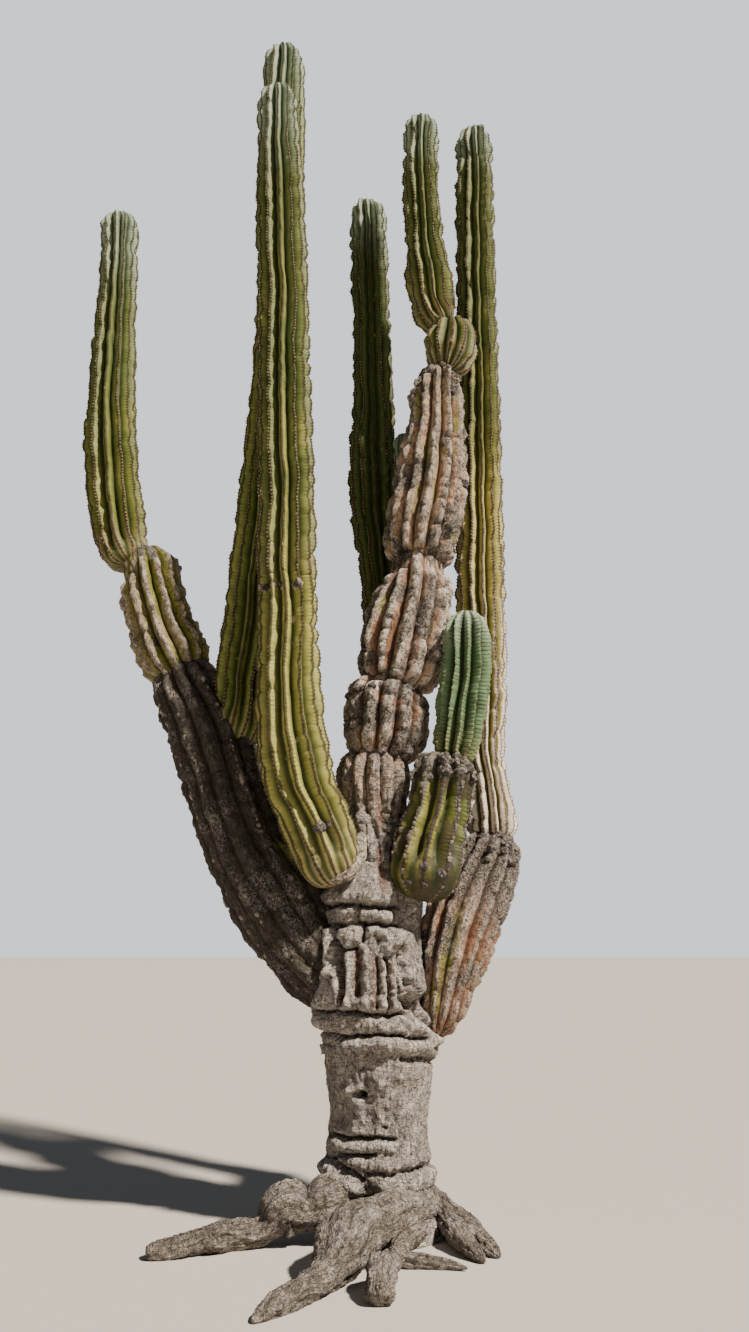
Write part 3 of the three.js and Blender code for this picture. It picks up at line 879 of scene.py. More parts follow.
def corkSkin(name, look):
    material, tree, shader, point = newMaterial(name)
    ribPlace, cavity, crease, ribTone, fromFoot, fromTip = [
        attribute(tree, k) for k in ("ribPlace", "cavity", "crease", "ribTone", "fromFoot", "fromTip")
    ]
    skin = attribute(tree, "skinSpace", "Vector")
    shifted = shiftedBy(point, look["seed"])
    threads = use(fibres, Skin=skin, Scale=look["fibreScale"])
    fine = use(grain, Vector=shifted, Scale=look["grainScale"], Mottle=look["mottle"])
    broad = noise(shifted, look["broadScale"], 3.0, 0.6) + (ribTone - 0.5) * 0.35
    tone = between(ramp(broad, 0.36, 0.66), look["flank"], look["flankToo"])
    streaked = stretched(skin, 1.0, 1.0, 0.4)
    inner = mask(patches, Vector=streaked, Scale=look["innerScale"], Amount=look["innerness"], Softness=0.07)
    tone = tint(tone, inner * 0.85, look["inner"])
    streaked = stretched(skin, 1.0, 1.0, 0.3)
    green = mask(patches, Vector=streaked, Scale=look["greenScale"], Amount=look["greenness"], Softness=0.05)
    green = green * ramp(ribPlace, 0.15, 0.45)
    tone = tint(tone, green * 0.9, look["green"])
    tone = tint(tone, ramp(out(threads, "Strands"), 0.5, 0.7) * 0.35, look["deep"])

    # the crest is a rough grey band with the dark dashes of its old areoles
    ragged = (noise(stretched(skin, 1.0, 1.0, 0.5), look["crestRagScale"], 4.0, 0.7) - 0.5) * 0.6
    crestBand = fall(ribPlace + ragged, look["crestWidth"] * 0.7, look["crestWidth"] * 1.2)
    crestTone = between(ramp(out(fine, "Height"), 0.35, 0.65), look["crestDark"], look["crest"])
    tone = mixTone(tree, crestBand * 0.9, tone, crestTone)
    dashes = mask(beads, Along=fromFoot, Across=ribPlace, Spacing=areoleSpacing, Width=look["dashReach"])
    dashes = dashes * ramp(noise(shifted, 8.0, 3.0, 0.6), 0.45, 0.6)
    tone = tint(tone, dashes * look["dashes"], look["deep"])

    # dead crust, then painted shade in the grooves, hollows and creases, dark holes and cracks, and worn
    # edges
    crust = mask(patches, Vector=shifted, Scale=look["crustScale"], Amount=look["crustiness"], Softness=0.05)
    dead = fall(fromTip + (broad - 0.5) * 0.5, look["deadTop"] * 0.6, look["deadTop"])
    crust = crust.math("MAXIMUM", dead)
    crustTone = between(ramp(out(fine, "Height"), 0.4, 0.6), look["crust"], look["crustPale"])
    tone = mixTone(tree, crust * 0.88, tone, crustTone)
    # painted shade: grooves, hollows and creases darken, then dark holes and cracks are added
    dark = (ramp(ribPlace, 0.6, 1.0) * 0.7).math("MAXIMUM", ramp(cavity, 0.15, 0.9) * 0.85)
    dark = dark.math("MAXIMUM", ramp(crease, 0.3, 1.0) * 0.7)
    holes = mask(pits, Vector=shifted, Scale=look["pitScale"], Rarity=look["pitRarity"])
    streaked = stretched(skin, 1.0, 1.0, 0.55)
    split = mask(cracks, Vector=streaked, Scale=look["crackScale"], Width=look["crackWidth"])
    dark = dark.math("MAXIMUM", holes * 0.7).math("MAXIMUM", split * 0.55)
    tone = tint(tone, dark, look["deep"])
    tone = tint(tone, ramp(cavity, -0.2, -0.8) * 0.35, look["worn"])
    tone = dapple(tone, out(fine, "Tone"))
    fineHeight = out(fine, "Height")
    height = out(threads, "Strands") * 0.9 + out(threads, "Wrinkles") * 0.15 + fineHeight * 0.65
    height = height + crust * fineHeight * 1.2 + crestBand * 0.2 - dashes * 0.2 - holes * 0.5 - split * 0.45
    wire(shader, look, tone, look["roughness"] - green * 0.3, height)
    return material


def barkSkin(name, look):
    material, tree, shader, point = newMaterial(name)
    cavity, recess, rowWave, fromFoot = [
        attribute(tree, k) for k in ("cavity", "recess", "rowWave", "fromFoot")
    ]
    skin = attribute(tree, "skinSpace", "Vector")
    threads = use(fibres, Skin=skin, Scale=look["fibreScale"])
    fine = use(grain, Vector=point, Scale=look["grainScale"], Mottle=look["mottle"])
    broad = noise(point, look["broadScale"], 5.0, 0.62)
    tone = between(ramp(broad, 0.35, 0.65), look["base"], look["baseToo"])
    pale = mask(patches, Vector=point, Scale=look["paleScale"], Amount=look["paleness"], Softness=0.08)
    tone = tint(tone, pale * 0.6, look["pale"])
    stain = mask(patches, Vector=point, Scale=look["stainScale"], Amount=look["stains"], Softness=0.1)
    tone = tint(tone, stain * 0.5, look["stain"])
    tone = tint(tone, ramp(cavity, -0.15, -0.8) * 0.5, look["worn"])
    inner = ramp(recess, 0.15, 0.8) * (0.35 + ramp(noise(point, 17.0, 4.0, 0.65), 0.4, 0.6) * 0.6)
    tone = tint(tone, inner, look["inner"])
    level = out(add(tree, "ShaderNodeSeparateXYZ", {"Vector": point}), "Z")
    aged = ramp(level + (broad - 0.5) * 0.6, *look["headFrom"])
    tone = tint(tone, aged * ramp(noise(point, 9.0, 4.0, 0.6), 0.4, 0.6) * 0.7, look["head"])
    spotted = mask(patches, Vector=point, Scale=look["spotScale"], Amount=look["spotted"], Softness=0.05)
    tone = tint(tone, aged * spotted * 0.45, look["spots"])
    lines = ramp(out(threads, "Wrinkles"), 0.52, 0.7) * look["wrinkleTone"]
    lines = lines.math("MAXIMUM", ramp(out(threads, "Strands"), 0.52, 0.7) * look["strandTone"])
    holes = mask(pits, Vector=point, Scale=look["pitScale"], Rarity=look["pitRarity"])
    fissure = {"Scale": look["crackScale"], "Width": look["crackWidth"]}
    upright = mask(cracks, Vector=stretched(skin, 1.0, 1.0, 0.3), **fissure)
    across = mask(cracks, Vector=stretched(skin, 0.4, 0.4, 1.0), **fissure)
    split = upright.math("MAXIMUM", across * look["crossCracks"])
    # painted shade in the hollows, with dark wrinkle lines, holes and cracks
    dark = (ramp(cavity, 0.15, 0.95) * 0.85).math("MAXIMUM", lines).math("MAXIMUM", holes * 0.65)
    dark = dark.math("MAXIMUM", split * 0.4)
    tone = tint(tone, dark, look["deep"])
    dashes = mask(beads, Along=fromFoot, Across=1 - rowWave, Spacing=look["dashSpacing"], Width=0.5)
    dashes = dashes * ramp(broad, 0.4, 0.6) * look["dashes"]
    tone = tint(tone, dashes, look["pale"])
    tone = dapple(tone, out(fine, "Tone"))
    height = out(threads, "Wrinkles") * look["wrinkled"] + out(threads, "Strands") * look["stranded"]
    height = height + out(fine, "Height") * 0.9 + dashes * 0.5 - holes * 0.5 - split * 0.6
    wire(shader, look, tone, look["roughness"] - pale * 0.05, height)
    return material


def areoleFelt(name, look):
    material, tree, shader, point = newMaterial(name)
    spine, areoleTone = attribute(tree, "spine"), attribute(tree, "areoleTone")
    fine = noise(point, look["grain"], 3.0, 0.6)
    tone = between(areoleTone, look["felt"], look["feltToo"])
    tone = tint(tone, spine, look["spine"])
    tone = tint(tone, fine * 0.5, look["dust"])
    wire(shader, look, tone, look["roughness"] - spine * 0.35, fine)
    return material


# Meshes after growing

def cavityMap(mesh, rounds=5, reach=0.012):  # stores how deep each point lies below its surroundings
    points = readAll(mesh.vertices, "co", 3).astype(float)
    normals = readAll(mesh.vertex_normals, "vector", 3)
    a, b = readAll(mesh.edges, "vertices", 2, np.int32).T
    count = len(points)
    weight = np.maximum(np.bincount(a, minlength=count) + np.bincount(b, minlength=count), 1)
    soft = points
    for _ in range(rounds):
        total = np.stack([np.bincount(a, soft[b, k], count) + np.bincount(b, soft[a, k], count)
                          for k in range(3)], axis=1)
        soft = total / weight[:, None]
    depth = ((soft - points) * normals).sum(axis=1) / reach
    keep(mesh, "cavity", np.clip(depth, -1, 1))


def hump(share):  # 1 in the middle, 0 from a share of 1 on
    return np.clip(1 - share ** 2, 0, 1)


def strokeHeight(across, up, path, width):  # 1 along a line of points, 0 from width on
    nearest = np.full(len(up), np.inf)
    for (x0, z0), (x1, z1) in zip(path, path[1:]):
        dx, dz = x1 - x0, z1 - z0
        t = np.clip(((across - x0) * dx + (up - z0) * dz) / (dx * dx + dz * dz), 0, 1)
        nearest = np.minimum(nearest, np.hypot(across - x0 - t * dx, up - z0 - t * dz))
    return hump(nearest / width)


def sculpt(mesh, features):  # folds, rolls, lumps and hollows, pushed in or out along the limb's own outward
    points = readAll(mesh.vertices, "co", 3).astype(float)
    outward = readAll(mesh.attributes["outward"].data, "vector", 3).astype(float)
    x, z = points[:, 0], points[:, 2]
    turn = np.arctan2(outward[:, 0], -outward[:, 1])
    front = smooth(-outward[:, 1], -0.2, 0.1)
    rear = 1 - front
    waver, strength = features["waver"], features["strength"]
    across = x + waver * np.sin(17 * z + 2.1 * np.sin(11 * x)) * 0.5 + waver * 0.3 * np.sin(53 * z)
    up = z + waver * np.sin(13 * x + 1.7 * np.sin(21 * z)) + waver * 0.5 * np.sin(47 * x)
    push, recess = np.zeros(len(points)), np.zeros(len(points))
    for path, width, height in features["strokes"]:
        push += strokeHeight(across, up, path, width) * height * front * strength
    for cx, cz, rx, rz, height in features["lumps"]:
        far = ((across - cx) / rx) ** 2 + ((up - cz) / rz) ** 2
        soft = 0.6 if height > 0.05 else 1 if rx < 0.1 else 2  # high lumps are steep, broad ones gentle
        push += np.clip(1 - far, 0, 1) ** soft * height * front * strength
    for path, width in features["recesses"]:
        recess += strokeHeight(across, up, path, width) * front
    for k, (level, width, height) in enumerate(features["rings"]):  # the same folds going on round the back
        middle = level + 0.035 * np.sin(turn * 2 + k * 1.9) + 0.012 * np.sin(turn * 5 + k)
        depth = height * (0.7 + 0.3 * np.sin(turn * 3 + k * 1.7))
        push += hump((z - middle) / width) ** 1.5 * depth * rear

    def aside(angle):  # how far round the trunk from an angle, in metres
        return np.angle(np.exp(1j * (turn - angle))) * features["radius"]

    dice = np.random.default_rng(features["seed"])
    lumps, ridges = features["rearLumps"], features["rearRidges"]
    for _ in range(lumps["count"]):
        angle, level, wide, tall, height = [
            dice.uniform(*lumps[k]) for k in ("angles", "levels", "widths", "heights", "pushes")
        ]
        inside = np.clip(1 - (aside(angle) / wide) ** 2 - ((z - level) / tall) ** 2, 0, 1)
        push += inside ** 1.5 * height * rear
    for _ in range(ridges["count"]):
        angle, level = dice.uniform(*ridges["angles"]), dice.choice(ridges["levels"])
        gap = aside(angle)
        push += hump(gap / ridges["width"]) * hump((z - level) / ridges["height"]) * ridges["push"] * rear
        hollow = hump((gap - ridges["hollowAside"]) / ridges["width"])
        recess += hollow * rear * hump((z - level) / ridges["hollowHeight"]) * ridges["hollow"]
    movePoints(mesh, points + outward * push[:, None])
    keep(mesh, "recess", np.clip(recess, 0, 1))


def growLimb(limb, material, cavity=False):
    piece = place(limb["piece"], railMesh(limb))
    values = {
        "Ribs": limb["ribs"],
        "Columns": limb.get("columns", rows["columns"]),
        "Seed": float(limb["seed"]),
        "Material": material,
        **limb.get("grow", {}),
    }
    mesh = runTree(piece, limbTree, values)
    if "features" in limb:
        sculpt(mesh, limb["features"])
    if cavity:
        cavityMap(mesh)
    return piece


def finishPiece(piece, nodes=()):
    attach(piece, "root")
    if nodes:
        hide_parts(*nodes)


def growRows(limb, piece, label, shape, material):  # areoles or scabs along the crests
    rowsOf = place(limb["piece"] + label, piece.data.copy())
    values = {"Areole": shape, "Material": material, "Seed": limb["seed"], **limb.get(label.lower(), {})}
    runTree(rowsOf, rowTree, values)
    return rowsOf


def surfaceOf(piece):
    mesh = piece.data
    return BVHTree.FromPolygons([v.co for v in mesh.vertices], [p.vertices for p in mesh.polygons])


def addKnots(name, spots, material, **values):  # spots: point, facing, size
    points, facings, sizes = zip(*spots)
    mesh = newMesh(name, points)
    keep(mesh, "size", sizes)
    keep(mesh, "facing", facings)
    piece = place(name, mesh)
    runTree(piece, lumpTree, {"Material": material, **values})
    cavityMap(piece.data, rounds=2)
    finishPiece(piece)


knotSeat = {"inFront": 4, "sunkInFront": 0.2, "sunkOnRim": 0.25}


def seenSpots(surfaces, marks):  # marks: x, z and size, found from the front
    spots = []
    for x, z, size in marks:
        start = Vector((x, -knotSeat["inFront"], z))
        hits = [surface.ray_cast(start, Vector((0, 1, 0))) for surface in surfaces]
        point, normal, _, _ = min((hit for hit in hits if hit[0]), key=lambda hit: hit[0].y)
        spots.append((point - normal * size * knotSeat["sunkInFront"], normal, size))
    return spots


def rimSpots(surface, rim):  # strewn round a limb's end
    dice = np.random.default_rng(rim["seed"])
    spots = []
    for _ in range(rim["count"]):
        turn, level = dice.uniform(0, math.tau), dice.uniform(*rim["levels"])
        size = dice.uniform(*rim["sizes"])
        away = Vector((math.sin(turn), -math.cos(turn), 0))
        point, normal, _, _ = surface.ray_cast(Vector((*rim["axis"], level)) + away, -away)
        if point:
            spots.append((point - normal * size * knotSeat["sunkOnRim"], normal, size))
    return spots


def camelName(node):
    first, *others = node.split("_")
    return first + "".join(word.capitalize() for word in others)


def fullLimb(limb, basics, section):  # what a limb leaves out comes from what its kind has in common
    return {"piece": camelName(limb["node"]), **basics, **limb, "grow": {**section, **limb.get("grow", {})}}


greenLook = {
    "tip": "#99aa94",
    "tipLength": 1.2,
    "middle": "#69733c",
    "low": "#818749",
    "oldFrom": (2.6, 4.8),
    "sun": "#aaa456",
    "sunned": 0.45,
    "sunFrom": (1.0, 2.6),
    "foot": "#857a50",
    "footReach": 0.3,
    "footed": 0.5,
    # painted shade of the rib grooves, also the colour of wrinkles, notches, holes and cracks
    "deep": "#2c3618",
    "deepness": 0.88,
    "crest": "#3c321f",
    "crestLine": 0.27,
    "cork": "#94704a",
    "corkGrey": "#a59a8c",
    "scar": "#9a8c72",
    "scars": 0.1,
    "creaseShadeTone": "#38391f",
    "wrinkleScale": 34.0,
    "wrinkled": 0.8,
    "notched": 0.3,
    "notchReach": 0.55,
    "notchDepth": 0.7,
    "driftScale": 2.2,
    "grainScale": 110.0,
    "mottle": 0.34,
    "corkRagScale": 26.0,
    "crestRagScale": 19.0,
    "notchPatchScale": 5.0,
    "scarScale": 9.0,
    "roughness": 0.58,
    "bump": 0.6,
    "bumpHeight": 0.006,
    "specular": 0.28,
}

corkLook = {
    "flank": "#bb967d",
    "flankToo": "#d2b7a0",
    "inner": "#86634c",
    "innerness": 0.45,
    "green": "#80803a",
    "greenness": 0.42,
    "crest": "#dbd1c6",
    "crestDark": "#70655b",
    "crestWidth": 0.42,
    "dashes": 0.2,
    "crust": "#302b28",
    "crustPale": "#8b847d",
    "crustiness": 0.62,
    "deadTop": 0.08,
    "pitRarity": 0.55,
    "worn": "#e0d4c6",
    "deep": "#2b2019",
    "fibreScale": 55.0,
    "grainScale": 85.0,
    "mottle": 0.62,
    "broadScale": 3.1,
    "innerScale": 8.0,
    "greenScale": 5.0,
    "crestRagScale": 24.0,
    "dashReach": 0.14,
    "crustScale": 3.6,
    "pitScale": 38.0,
    "crackScale": 21.0,
    "crackWidth": 0.03,
    "roughness": 0.93,
    "bump": 0.9,
    "bumpHeight": 0.014,
    "specular": 0.22,
}

feltLook = {
    "felt": "#9c8f74",
    "feltToo": "#6b5d45",
    "spine": "#84785f",
    "dust": "#aea288",
    "grain": 600.0,
    "roughness": 0.95,
    "bump": 0.6,
    "bumpHeight": 0.001,
    "specular": 0.5,
}

scabLook = {
    **feltLook,
    "felt": "#3a3430",
    "feltToo": "#857b72",
    "spine": "#857b72",
    "dust": "#a39990",
    "grain": 110.0,
    "bumpHeight": 0.006,
}

armSection = {
    "Groove Depth": 2.15,
    "Crest Width": 0.09,
    "Wander": 0.045,
    "Unevenness": 0.13,
    "Bulge": 0.026,
    "Crease Depth": 0.008,
    "Crease Spacing": 0.15,
    "Pillow": 0.01,
    "Tubercles": 0.0014,
}
knobbly = {"Tubercles": 0.002, "Bulge": 0.036, "Crease Depth": 0.01, "Unevenness": 0.16}
corkSection = {
    "Groove Depth": 1.9,
    "Crest Width": 0.25,
    "Roundness": 0.4,
    "Relief": 0.013,
    "Relief Scale": 16.0,
    "Crinkle": 0.008,
    "Crinkle Scale": 15.0,
    "Bulge": 0.026,
    "Crease Depth": 0.012,
    "Crease Spacing": 0.17,
    "Wander": 0.035,
    "Unevenness": 0.12,
    "Pillow": 0.014,
    "Tubercles": 0.0,
    "Core": 0.74,
}

felt = areoleFelt("areoleFelt", feltLook)
darkFeltLook = {**feltLook, "felt": "#6c5f49", "feltToo": "#4d4232", "spine": "#5d513e", "dust": "#857a66"}
darkFelt = areoleFelt("darkFelt", darkFeltLook)
paleFeltLook = {**feltLook, "felt": "#a9ab92", "feltToo": "#8c9078", "spine": "#a3a284", "dust": "#b9bba4"}
paleFelt = areoleFelt("paleFelt", paleFeltLook)
scabs = areoleFelt("scabFelt", scabLook)

armBasics = {"ribs": 12, "groove": [(0, 0.2), (1, 0.2)]}

leftOuterArm = {
    "node": "left_outer_arm",
    "seed": 3,
    "foot": (0.14, 0.55),
    "tip": (0.19, 0),
    "line": [
        (-1.905, 0.19, 4.42, 0.17), (-1.975, 0.2, 4.58, 0.19), (-2.015, 0.215, 4.76, 0.21),
        (-2.075, 0.23, 5, 0.216), (-2.125, 0.23, 5.33, 0.216), (-2.155, 0.235, 5.7, 0.196),
        (-2.18, 0.24, 6.23, 0.18), (-2.195, 0.245, 6.81, 0.16), (-2.22, 0.25, 7.38, 0.162),
        (-2.24, 0.25, 7.68, 0.168),
    ],
    "smoothFoot": (0.02, 0.22),
    "cork": [(0, 0.4), (0.1, 0.15), (0.2, 0), (1, 0)],
    "waists": [(7.3, 0.16, 0.055), (6.5, 0.03, 0.12), (5.15, 0.06, 0.1)],
    "look": {"oldFrom": (1.4, 3.0), "low": "#747a38", "sunned": 0.4},
}

leftRearArm = {
    "node": "left_rear_arm",
    "seed": 4,
    "foot": (0.17, 0.5),
    "tip": (0.21, 0),
    "line": [
        (-1.07, 0.14, 3.02, 0.19), (-1.02, 0.11, 3.23, 0.208), (-1, 0.105, 3.48, 0.206),
        (-0.945, 0.11, 4.14, 0.206), (-0.895, 0.11, 4.97, 0.202), (-0.85, 0.115, 5.85, 0.19),
        (-0.835, 0.12, 6.79, 0.184), (-0.835, 0.125, 7.8, 0.182), (-0.855, 0.13, 8.95, 0.184),
        (-0.865, 0.13, 9.38, 0.18),
    ],
    "smoothFoot": (0.05, 0.35),
    "cork": [(0, 0.3), (0.08, 0.1), (0.2, 0), (1, 0)],
    "look": {"middle": "#7b8843", "low": "#7f8a47"},
}

leftFrontLower = {
    "node": "left_front_arm_lower",
    "seed": 5,
    "groove": [(0, 0.15), (1, 0.2)],
    "foot": (0.19, 0.3),
    "tip": (0.03, 0.94),
    "below": 4.43,
    "line": [
        (-0.285, -0.25, 2.045, 0.19), (-0.335, -0.285, 2.16, 0.206), (-0.38, -0.31, 2.29, 0.216),
        (-0.45, -0.328, 2.45, 0.228), (-0.52, -0.34, 2.61, 0.235), (-0.58, -0.355, 2.83, 0.238),
        (-0.624, -0.375, 3.22, 0.222), (-0.645, -0.372, 3.66, 0.208), (-0.662, -0.37, 4.06, 0.206),
    ],
    "smoothFoot": (0.05, 0.45),
    "cork": [(0, 0.9), (0.06, 0.5), (0.1, 0.2), (0.18, 0.04), (1, 0)],
    # look: its darker foot tone is a painted shade of the arm's shaded foot
    "look": {"low": "#9d9b56", "sunned": 0.6, "oldFrom": (3.0, 5.0), "sun": "#c4b962", "cork": "#8b7a52",
             "corkGrey": "#9a8e72", "foot": "#6f6442", "footReach": 0.5, "footed": 0.6},
    "areoles": {"Size": 0.85},
    "felt": darkFelt,
}

leftFrontUpper = {
    "node": "left_front_arm_upper",
    "seed": 5,
    "foot": (0.03, 0.94),
    "tip": (0.21, 0),
    "line": [
        (-0.662, -0.37, 4.06, 0.206), (-0.68, -0.358, 4.69, 0.205), (-0.718, -0.346, 5.5, 0.199),
        (-0.752, -0.334, 6.37, 0.195), (-0.8, -0.318, 7.32, 0.192), (-0.838, -0.304, 8.1, 0.166),
        (-0.853, -0.3, 8.47, 0.162),
    ],
    "cork": [(0, 0), (1, 0)],
    "look": {"low": "#8f9052", "sunned": 0.55, "oldFrom": (3.0, 5.0), "sun": "#b3ab5c"},
}

middleTopArm = {
    "node": "middle_top_arm",
    "seed": 7,
    "foot": (0.15, 0.4),
    "tip": (0.2, 0),
    "line": [
        (0.49, 0.044, 6.4, 0.15), (0.428, 0.034, 6.51, 0.176), (0.402, 0.026, 6.68, 0.192),
        (0.366, 0.014, 7, 0.174), (0.34, -0.008, 7.4, 0.154), (0.326, -0.022, 7.8, 0.15),
        (0.334, -0.04, 8.13, 0.15), (0.345, -0.05, 8.41, 0.158),
    ],
    "smoothFoot": (0.0, 0.15),
    "cork": [(0, 0.35), (0.15, 0.2), (0.4, 0.05), (1, 0)],
    "waists": [(7.15, 0.07, 0.1), (6.63, 0.06, 0.07), (7.75, 0.03, 0.1), (8.06, 0.1, 0.045)],
    "grow": knobbly,
    "look": {"sunned": 0.5, "oldFrom": (1.0, 2.0), "tipLength": 0.7, "tip": "#a3b49d", "notched": 0.5},
}

rearArm = {
    "node": "rear_arm",
    "seed": 8,
    "foot": (0.2, 0.4),
    "tip": (0.18, 0),
    "line": [
        (0.14, 0.23, 3.43, 0.15), (0.095, 0.37, 3.64, 0.18), (0.05, 0.44, 4.02, 0.192),
        (0, 0.47, 4.56, 0.188), (-0.052, 0.52, 5.11, 0.206), (-0.066, 0.53, 5.48, 0.204),
        (-0.066, 0.525, 5.85, 0.178), (-0.078, 0.52, 6.61, 0.164), (-0.104, 0.52, 7.43, 0.164),
        (-0.118, 0.52, 8.06, 0.152),
    ],
    "smoothFoot": (0.05, 0.3),
    "cork": [(0, 0.35), (0.2, 0.1), (1, 0)],
    "waists": [(7.64, 0.06, 0.05), (7.0, 0.03, 0.1)],
    "grow": knobbly,
    "look": {"middle": "#566434", "low": "#6e7236", "sunned": 0.25, "tipLength": 0.9, "tip": "#a3b49d"},
}

rearBud = {
    "node": "rear_bud",
    "columns": 8,
    "seed": 9,
    "foot": (0.11, 0.4),
    "tip": (0.11, 0),
    "line": [
        (0.29, 0.25, 4.86, 0.064), (0.222, 0.325, 5.02, 0.084), (0.19, 0.35, 5.26, 0.09),
        (0.172, 0.35, 5.62, 0.088),
    ],
    "cork": [(0, 0.1), (1, 0)],
    "areoles": {"Size": 0.7},
    "look": {"middle": "#6f8550", "tipLength": 0.5},
}

rightLower = {
    "node": "right_tall_arm_lower",
    "seed": 10,
    "groove": [(0, 0.15), (1, 0.18)],
    "foot": (0.1, 0.62),
    "tip": (0.06, 0.88),
    "below": 4.6,
    "line": [
        (0.768, 0.258, 2.385, 0.182), (0.762, 0.265, 2.58, 0.17), (0.728, 0.275, 2.93, 0.152),
        (0.742, 0.29, 3.37, 0.168), (0.752, 0.3, 3.76, 0.176), (0.744, 0.315, 4.17, 0.188),
    ],
    "grow": {"Crest Width": 0.2, "Roundness": 0.2, "Groove Depth": 2.3, "Pillow": 0.02,
             "Crease Depth": 0.012},
    "cork": [(0, 0.8), (0.4, 0.6), (0.75, 0.45), (1, 0.22)],
    "look": {"low": "#bdb268", "cork": "#d9c3b5", "corkGrey": "#e8ddd3", "sunned": 0.6, "sun": "#cdc26e",
             "crest": "#5a4c3a"},
}

rightUpper = {
    "node": "right_tall_arm_upper",
    "seed": 10,
    "foot": (0.06, 0.88),
    "tip": (0.19, 0),
    "line": [
        (0.744, 0.315, 4.14, 0.188), (0.755, 0.33, 4.52, 0.192), (0.772, 0.35, 5, 0.18),
        (0.794, 0.375, 5.9, 0.176), (0.806, 0.385, 6.88, 0.168), (0.822, 0.39, 7.92, 0.168),
        (0.832, 0.395, 8.39, 0.16), (0.838, 0.395, 8.74, 0.16),
    ],
    "cork": [(0, 0.22), (0.12, 0.16), (0.3, 0.04), (0.5, 0), (1, 0)],
    "waists": [(8.36, 0.09, 0.045), (7.6, 0.03, 0.1), (6.2, 0.03, 0.12)],
    "grow": knobbly,
    "look": {"low": "#807d39", "sunned": 0.4, "sun": "#a89e50", "oldFrom": (2.0, 4.0), "tipLength": 0.7,
             "tip": "#a3b49d", "notched": 0.5, "foot": "#c0b569", "footReach": 1.5, "footed": 1.0,
             "cork": "#cdb3a3", "corkGrey": "#dccfc4", "crest": "#4c4130"},
}

frontBough = {
    "node": "front_bough",
    "ribs": 10,
    "seed": 11,
    "groove": [(0, 0.17), (1, 0.19)],
    "foot": (0.2, 0.3),
    "tip": (0.13, 0.66),
    "below": 3.0,
    "line": [
        (0.22, -0.165, 1.945, 0.21), (0.27, -0.19, 2.13, 0.236), (0.308, -0.19, 2.32, 0.23),
        (0.352, -0.182, 2.47, 0.222), (0.385, -0.178, 2.61, 0.216), (0.42, -0.172, 2.88, 0.2),
    ],
    "smoothFoot": (0.16, 0.34),
    "cork": [(0, 0.1), (0.25, 0.12), (0.6, 0.2), (0.78, 0.45), (0.88, 1), (1, 1)],
    "grow": {"Ragged Ends": 0.06, "Core": 0.8, "Crest Width": 0.16, "Roundness": 0.1, "Relief": 0.012,
             "Crinkle": 0.006, "Crinkle Scale": 10.0, "Groove Depth": 2.5},
    "areoles": {"Missing": 0.55, "Size": 0.8},
    "felt": darkFelt,
    "scabs": {"Missing": 0.3, "Size": 0.95, "Size Spread": 0.6, "Sink": 0.003},
    # look: the dark foot tone is a painted shade of the bough's shaded underside
    "look": {"low": "#666b31", "middle": "#666b31", "scars": 0.5, "scar": "#4a4030", "cork": "#37302c",
             "foot": "#3f371f", "footReach": 0.55, "footed": 0.95, "corkGrey": "#756d67", "sunned": 0.5,
             "crest": "#453c37", "crestLine": 0.19, "oldFrom": (-2, -1)},
}

frontArm = {
    "node": "front_arm",
    "seed": 12,
    "groove": [(0, 0.18), (1, 0.2)],
    "foot": (0.13, 0.5),
    "tip": (0.2, 0),
    "line": [
        (0.462, -0.17, 2.85, 0.15), (0.502, -0.17, 3.01, 0.16), (0.545, -0.17, 3.29, 0.178),
        (0.578, -0.17, 3.56, 0.176), (0.59, -0.17, 3.915, 0.166),
    ],
    "cork": [(0, 0.15), (0.2, 0.05), (1, 0)],
    "grow": {"Crease Spacing": 0.045, "Crease Depth": 0.006, "Pillow": 0.01},
    # look: a strong painted shade in the grooves
    "look": {"tip": "#9aac93", "middle": "#637d59", "low": "#70834f", "oldFrom": (0.7, 1.3), "sunned": 0.1,
             "tipLength": 0.4, "scars": 0.05, "wrinkled": 2.2, "wrinkleScale": 22.0, "crestLine": 0.07,
             "crest": "#7c8466", "deepness": 0.95, "footed": 0.2, "notched": 0.42, "notchReach": 1.3,
             "notchDepth": 1.5},
    "areoles": {"Size": 0.65, "Missing": 0.2},
    "felt": paleFelt,
}

middleBall = {
    "node": "middle_stem_ball",
    "seed": 13,
    "groove": [(0, 0.17), (1, 0.17)],
    "foot": (0.19, 0.42),
    "tip": (0.19, 0.3),
    "below": 3.0,
    "line": [
        (0.505, 0.05, 6, 0.19), (0.535, 0.05, 6.12, 0.205), (0.552, 0.05, 6.26, 0.206),
        (0.545, 0.048, 6.46, 0.19),
    ],
    "cork": [(0, 0.5), (0.5, 0.3), (1, 0.35)],
    "grow": {"Roundness": 0.4, "Crest Width": 0.3},
    "look": {"low": "#8c8d3c", "cork": "#7d6644"},
}

greenLimbs = [
    leftOuterArm, leftRearArm, leftFrontLower, leftFrontUpper, middleTopArm, rearArm, rearBud, rightLower,
    rightUpper, frontBough, frontArm, middleBall,
]
slotOf = {row["node"]: row["material_slot"] for row in frame["record"]["subparts"]}

pieces = {}
for own in greenLimbs:
    limb = fullLimb(own, armBasics, armSection)
    name, slot = limb["piece"], slotOf[limb["node"]]
    skin = greenSkin(name + "Skin", {**greenLook, "seed": limb["seed"], **limb["look"]})
    pieces[name] = growLimb(limb, skin)
    spines = growRows(limb, pieces[name], "Areoles", areole, limb.get("felt", felt))
    finishPiece(pieces[name], [limb["node"]])
    finishPiece(spines)
    if "scabs" in limb:
        finishPiece(growRows(limb, pieces[name], "Scabs", scab, scabs))
print("green limbs grown:", len(greenLimbs))

corkBasics = {
    "ribs": 13,
    "columns": 14,
    "step": 0.012,
    "scabs": {"Missing": 0.72, "Size Spread": 0.6, "Sink": 0.004},
}

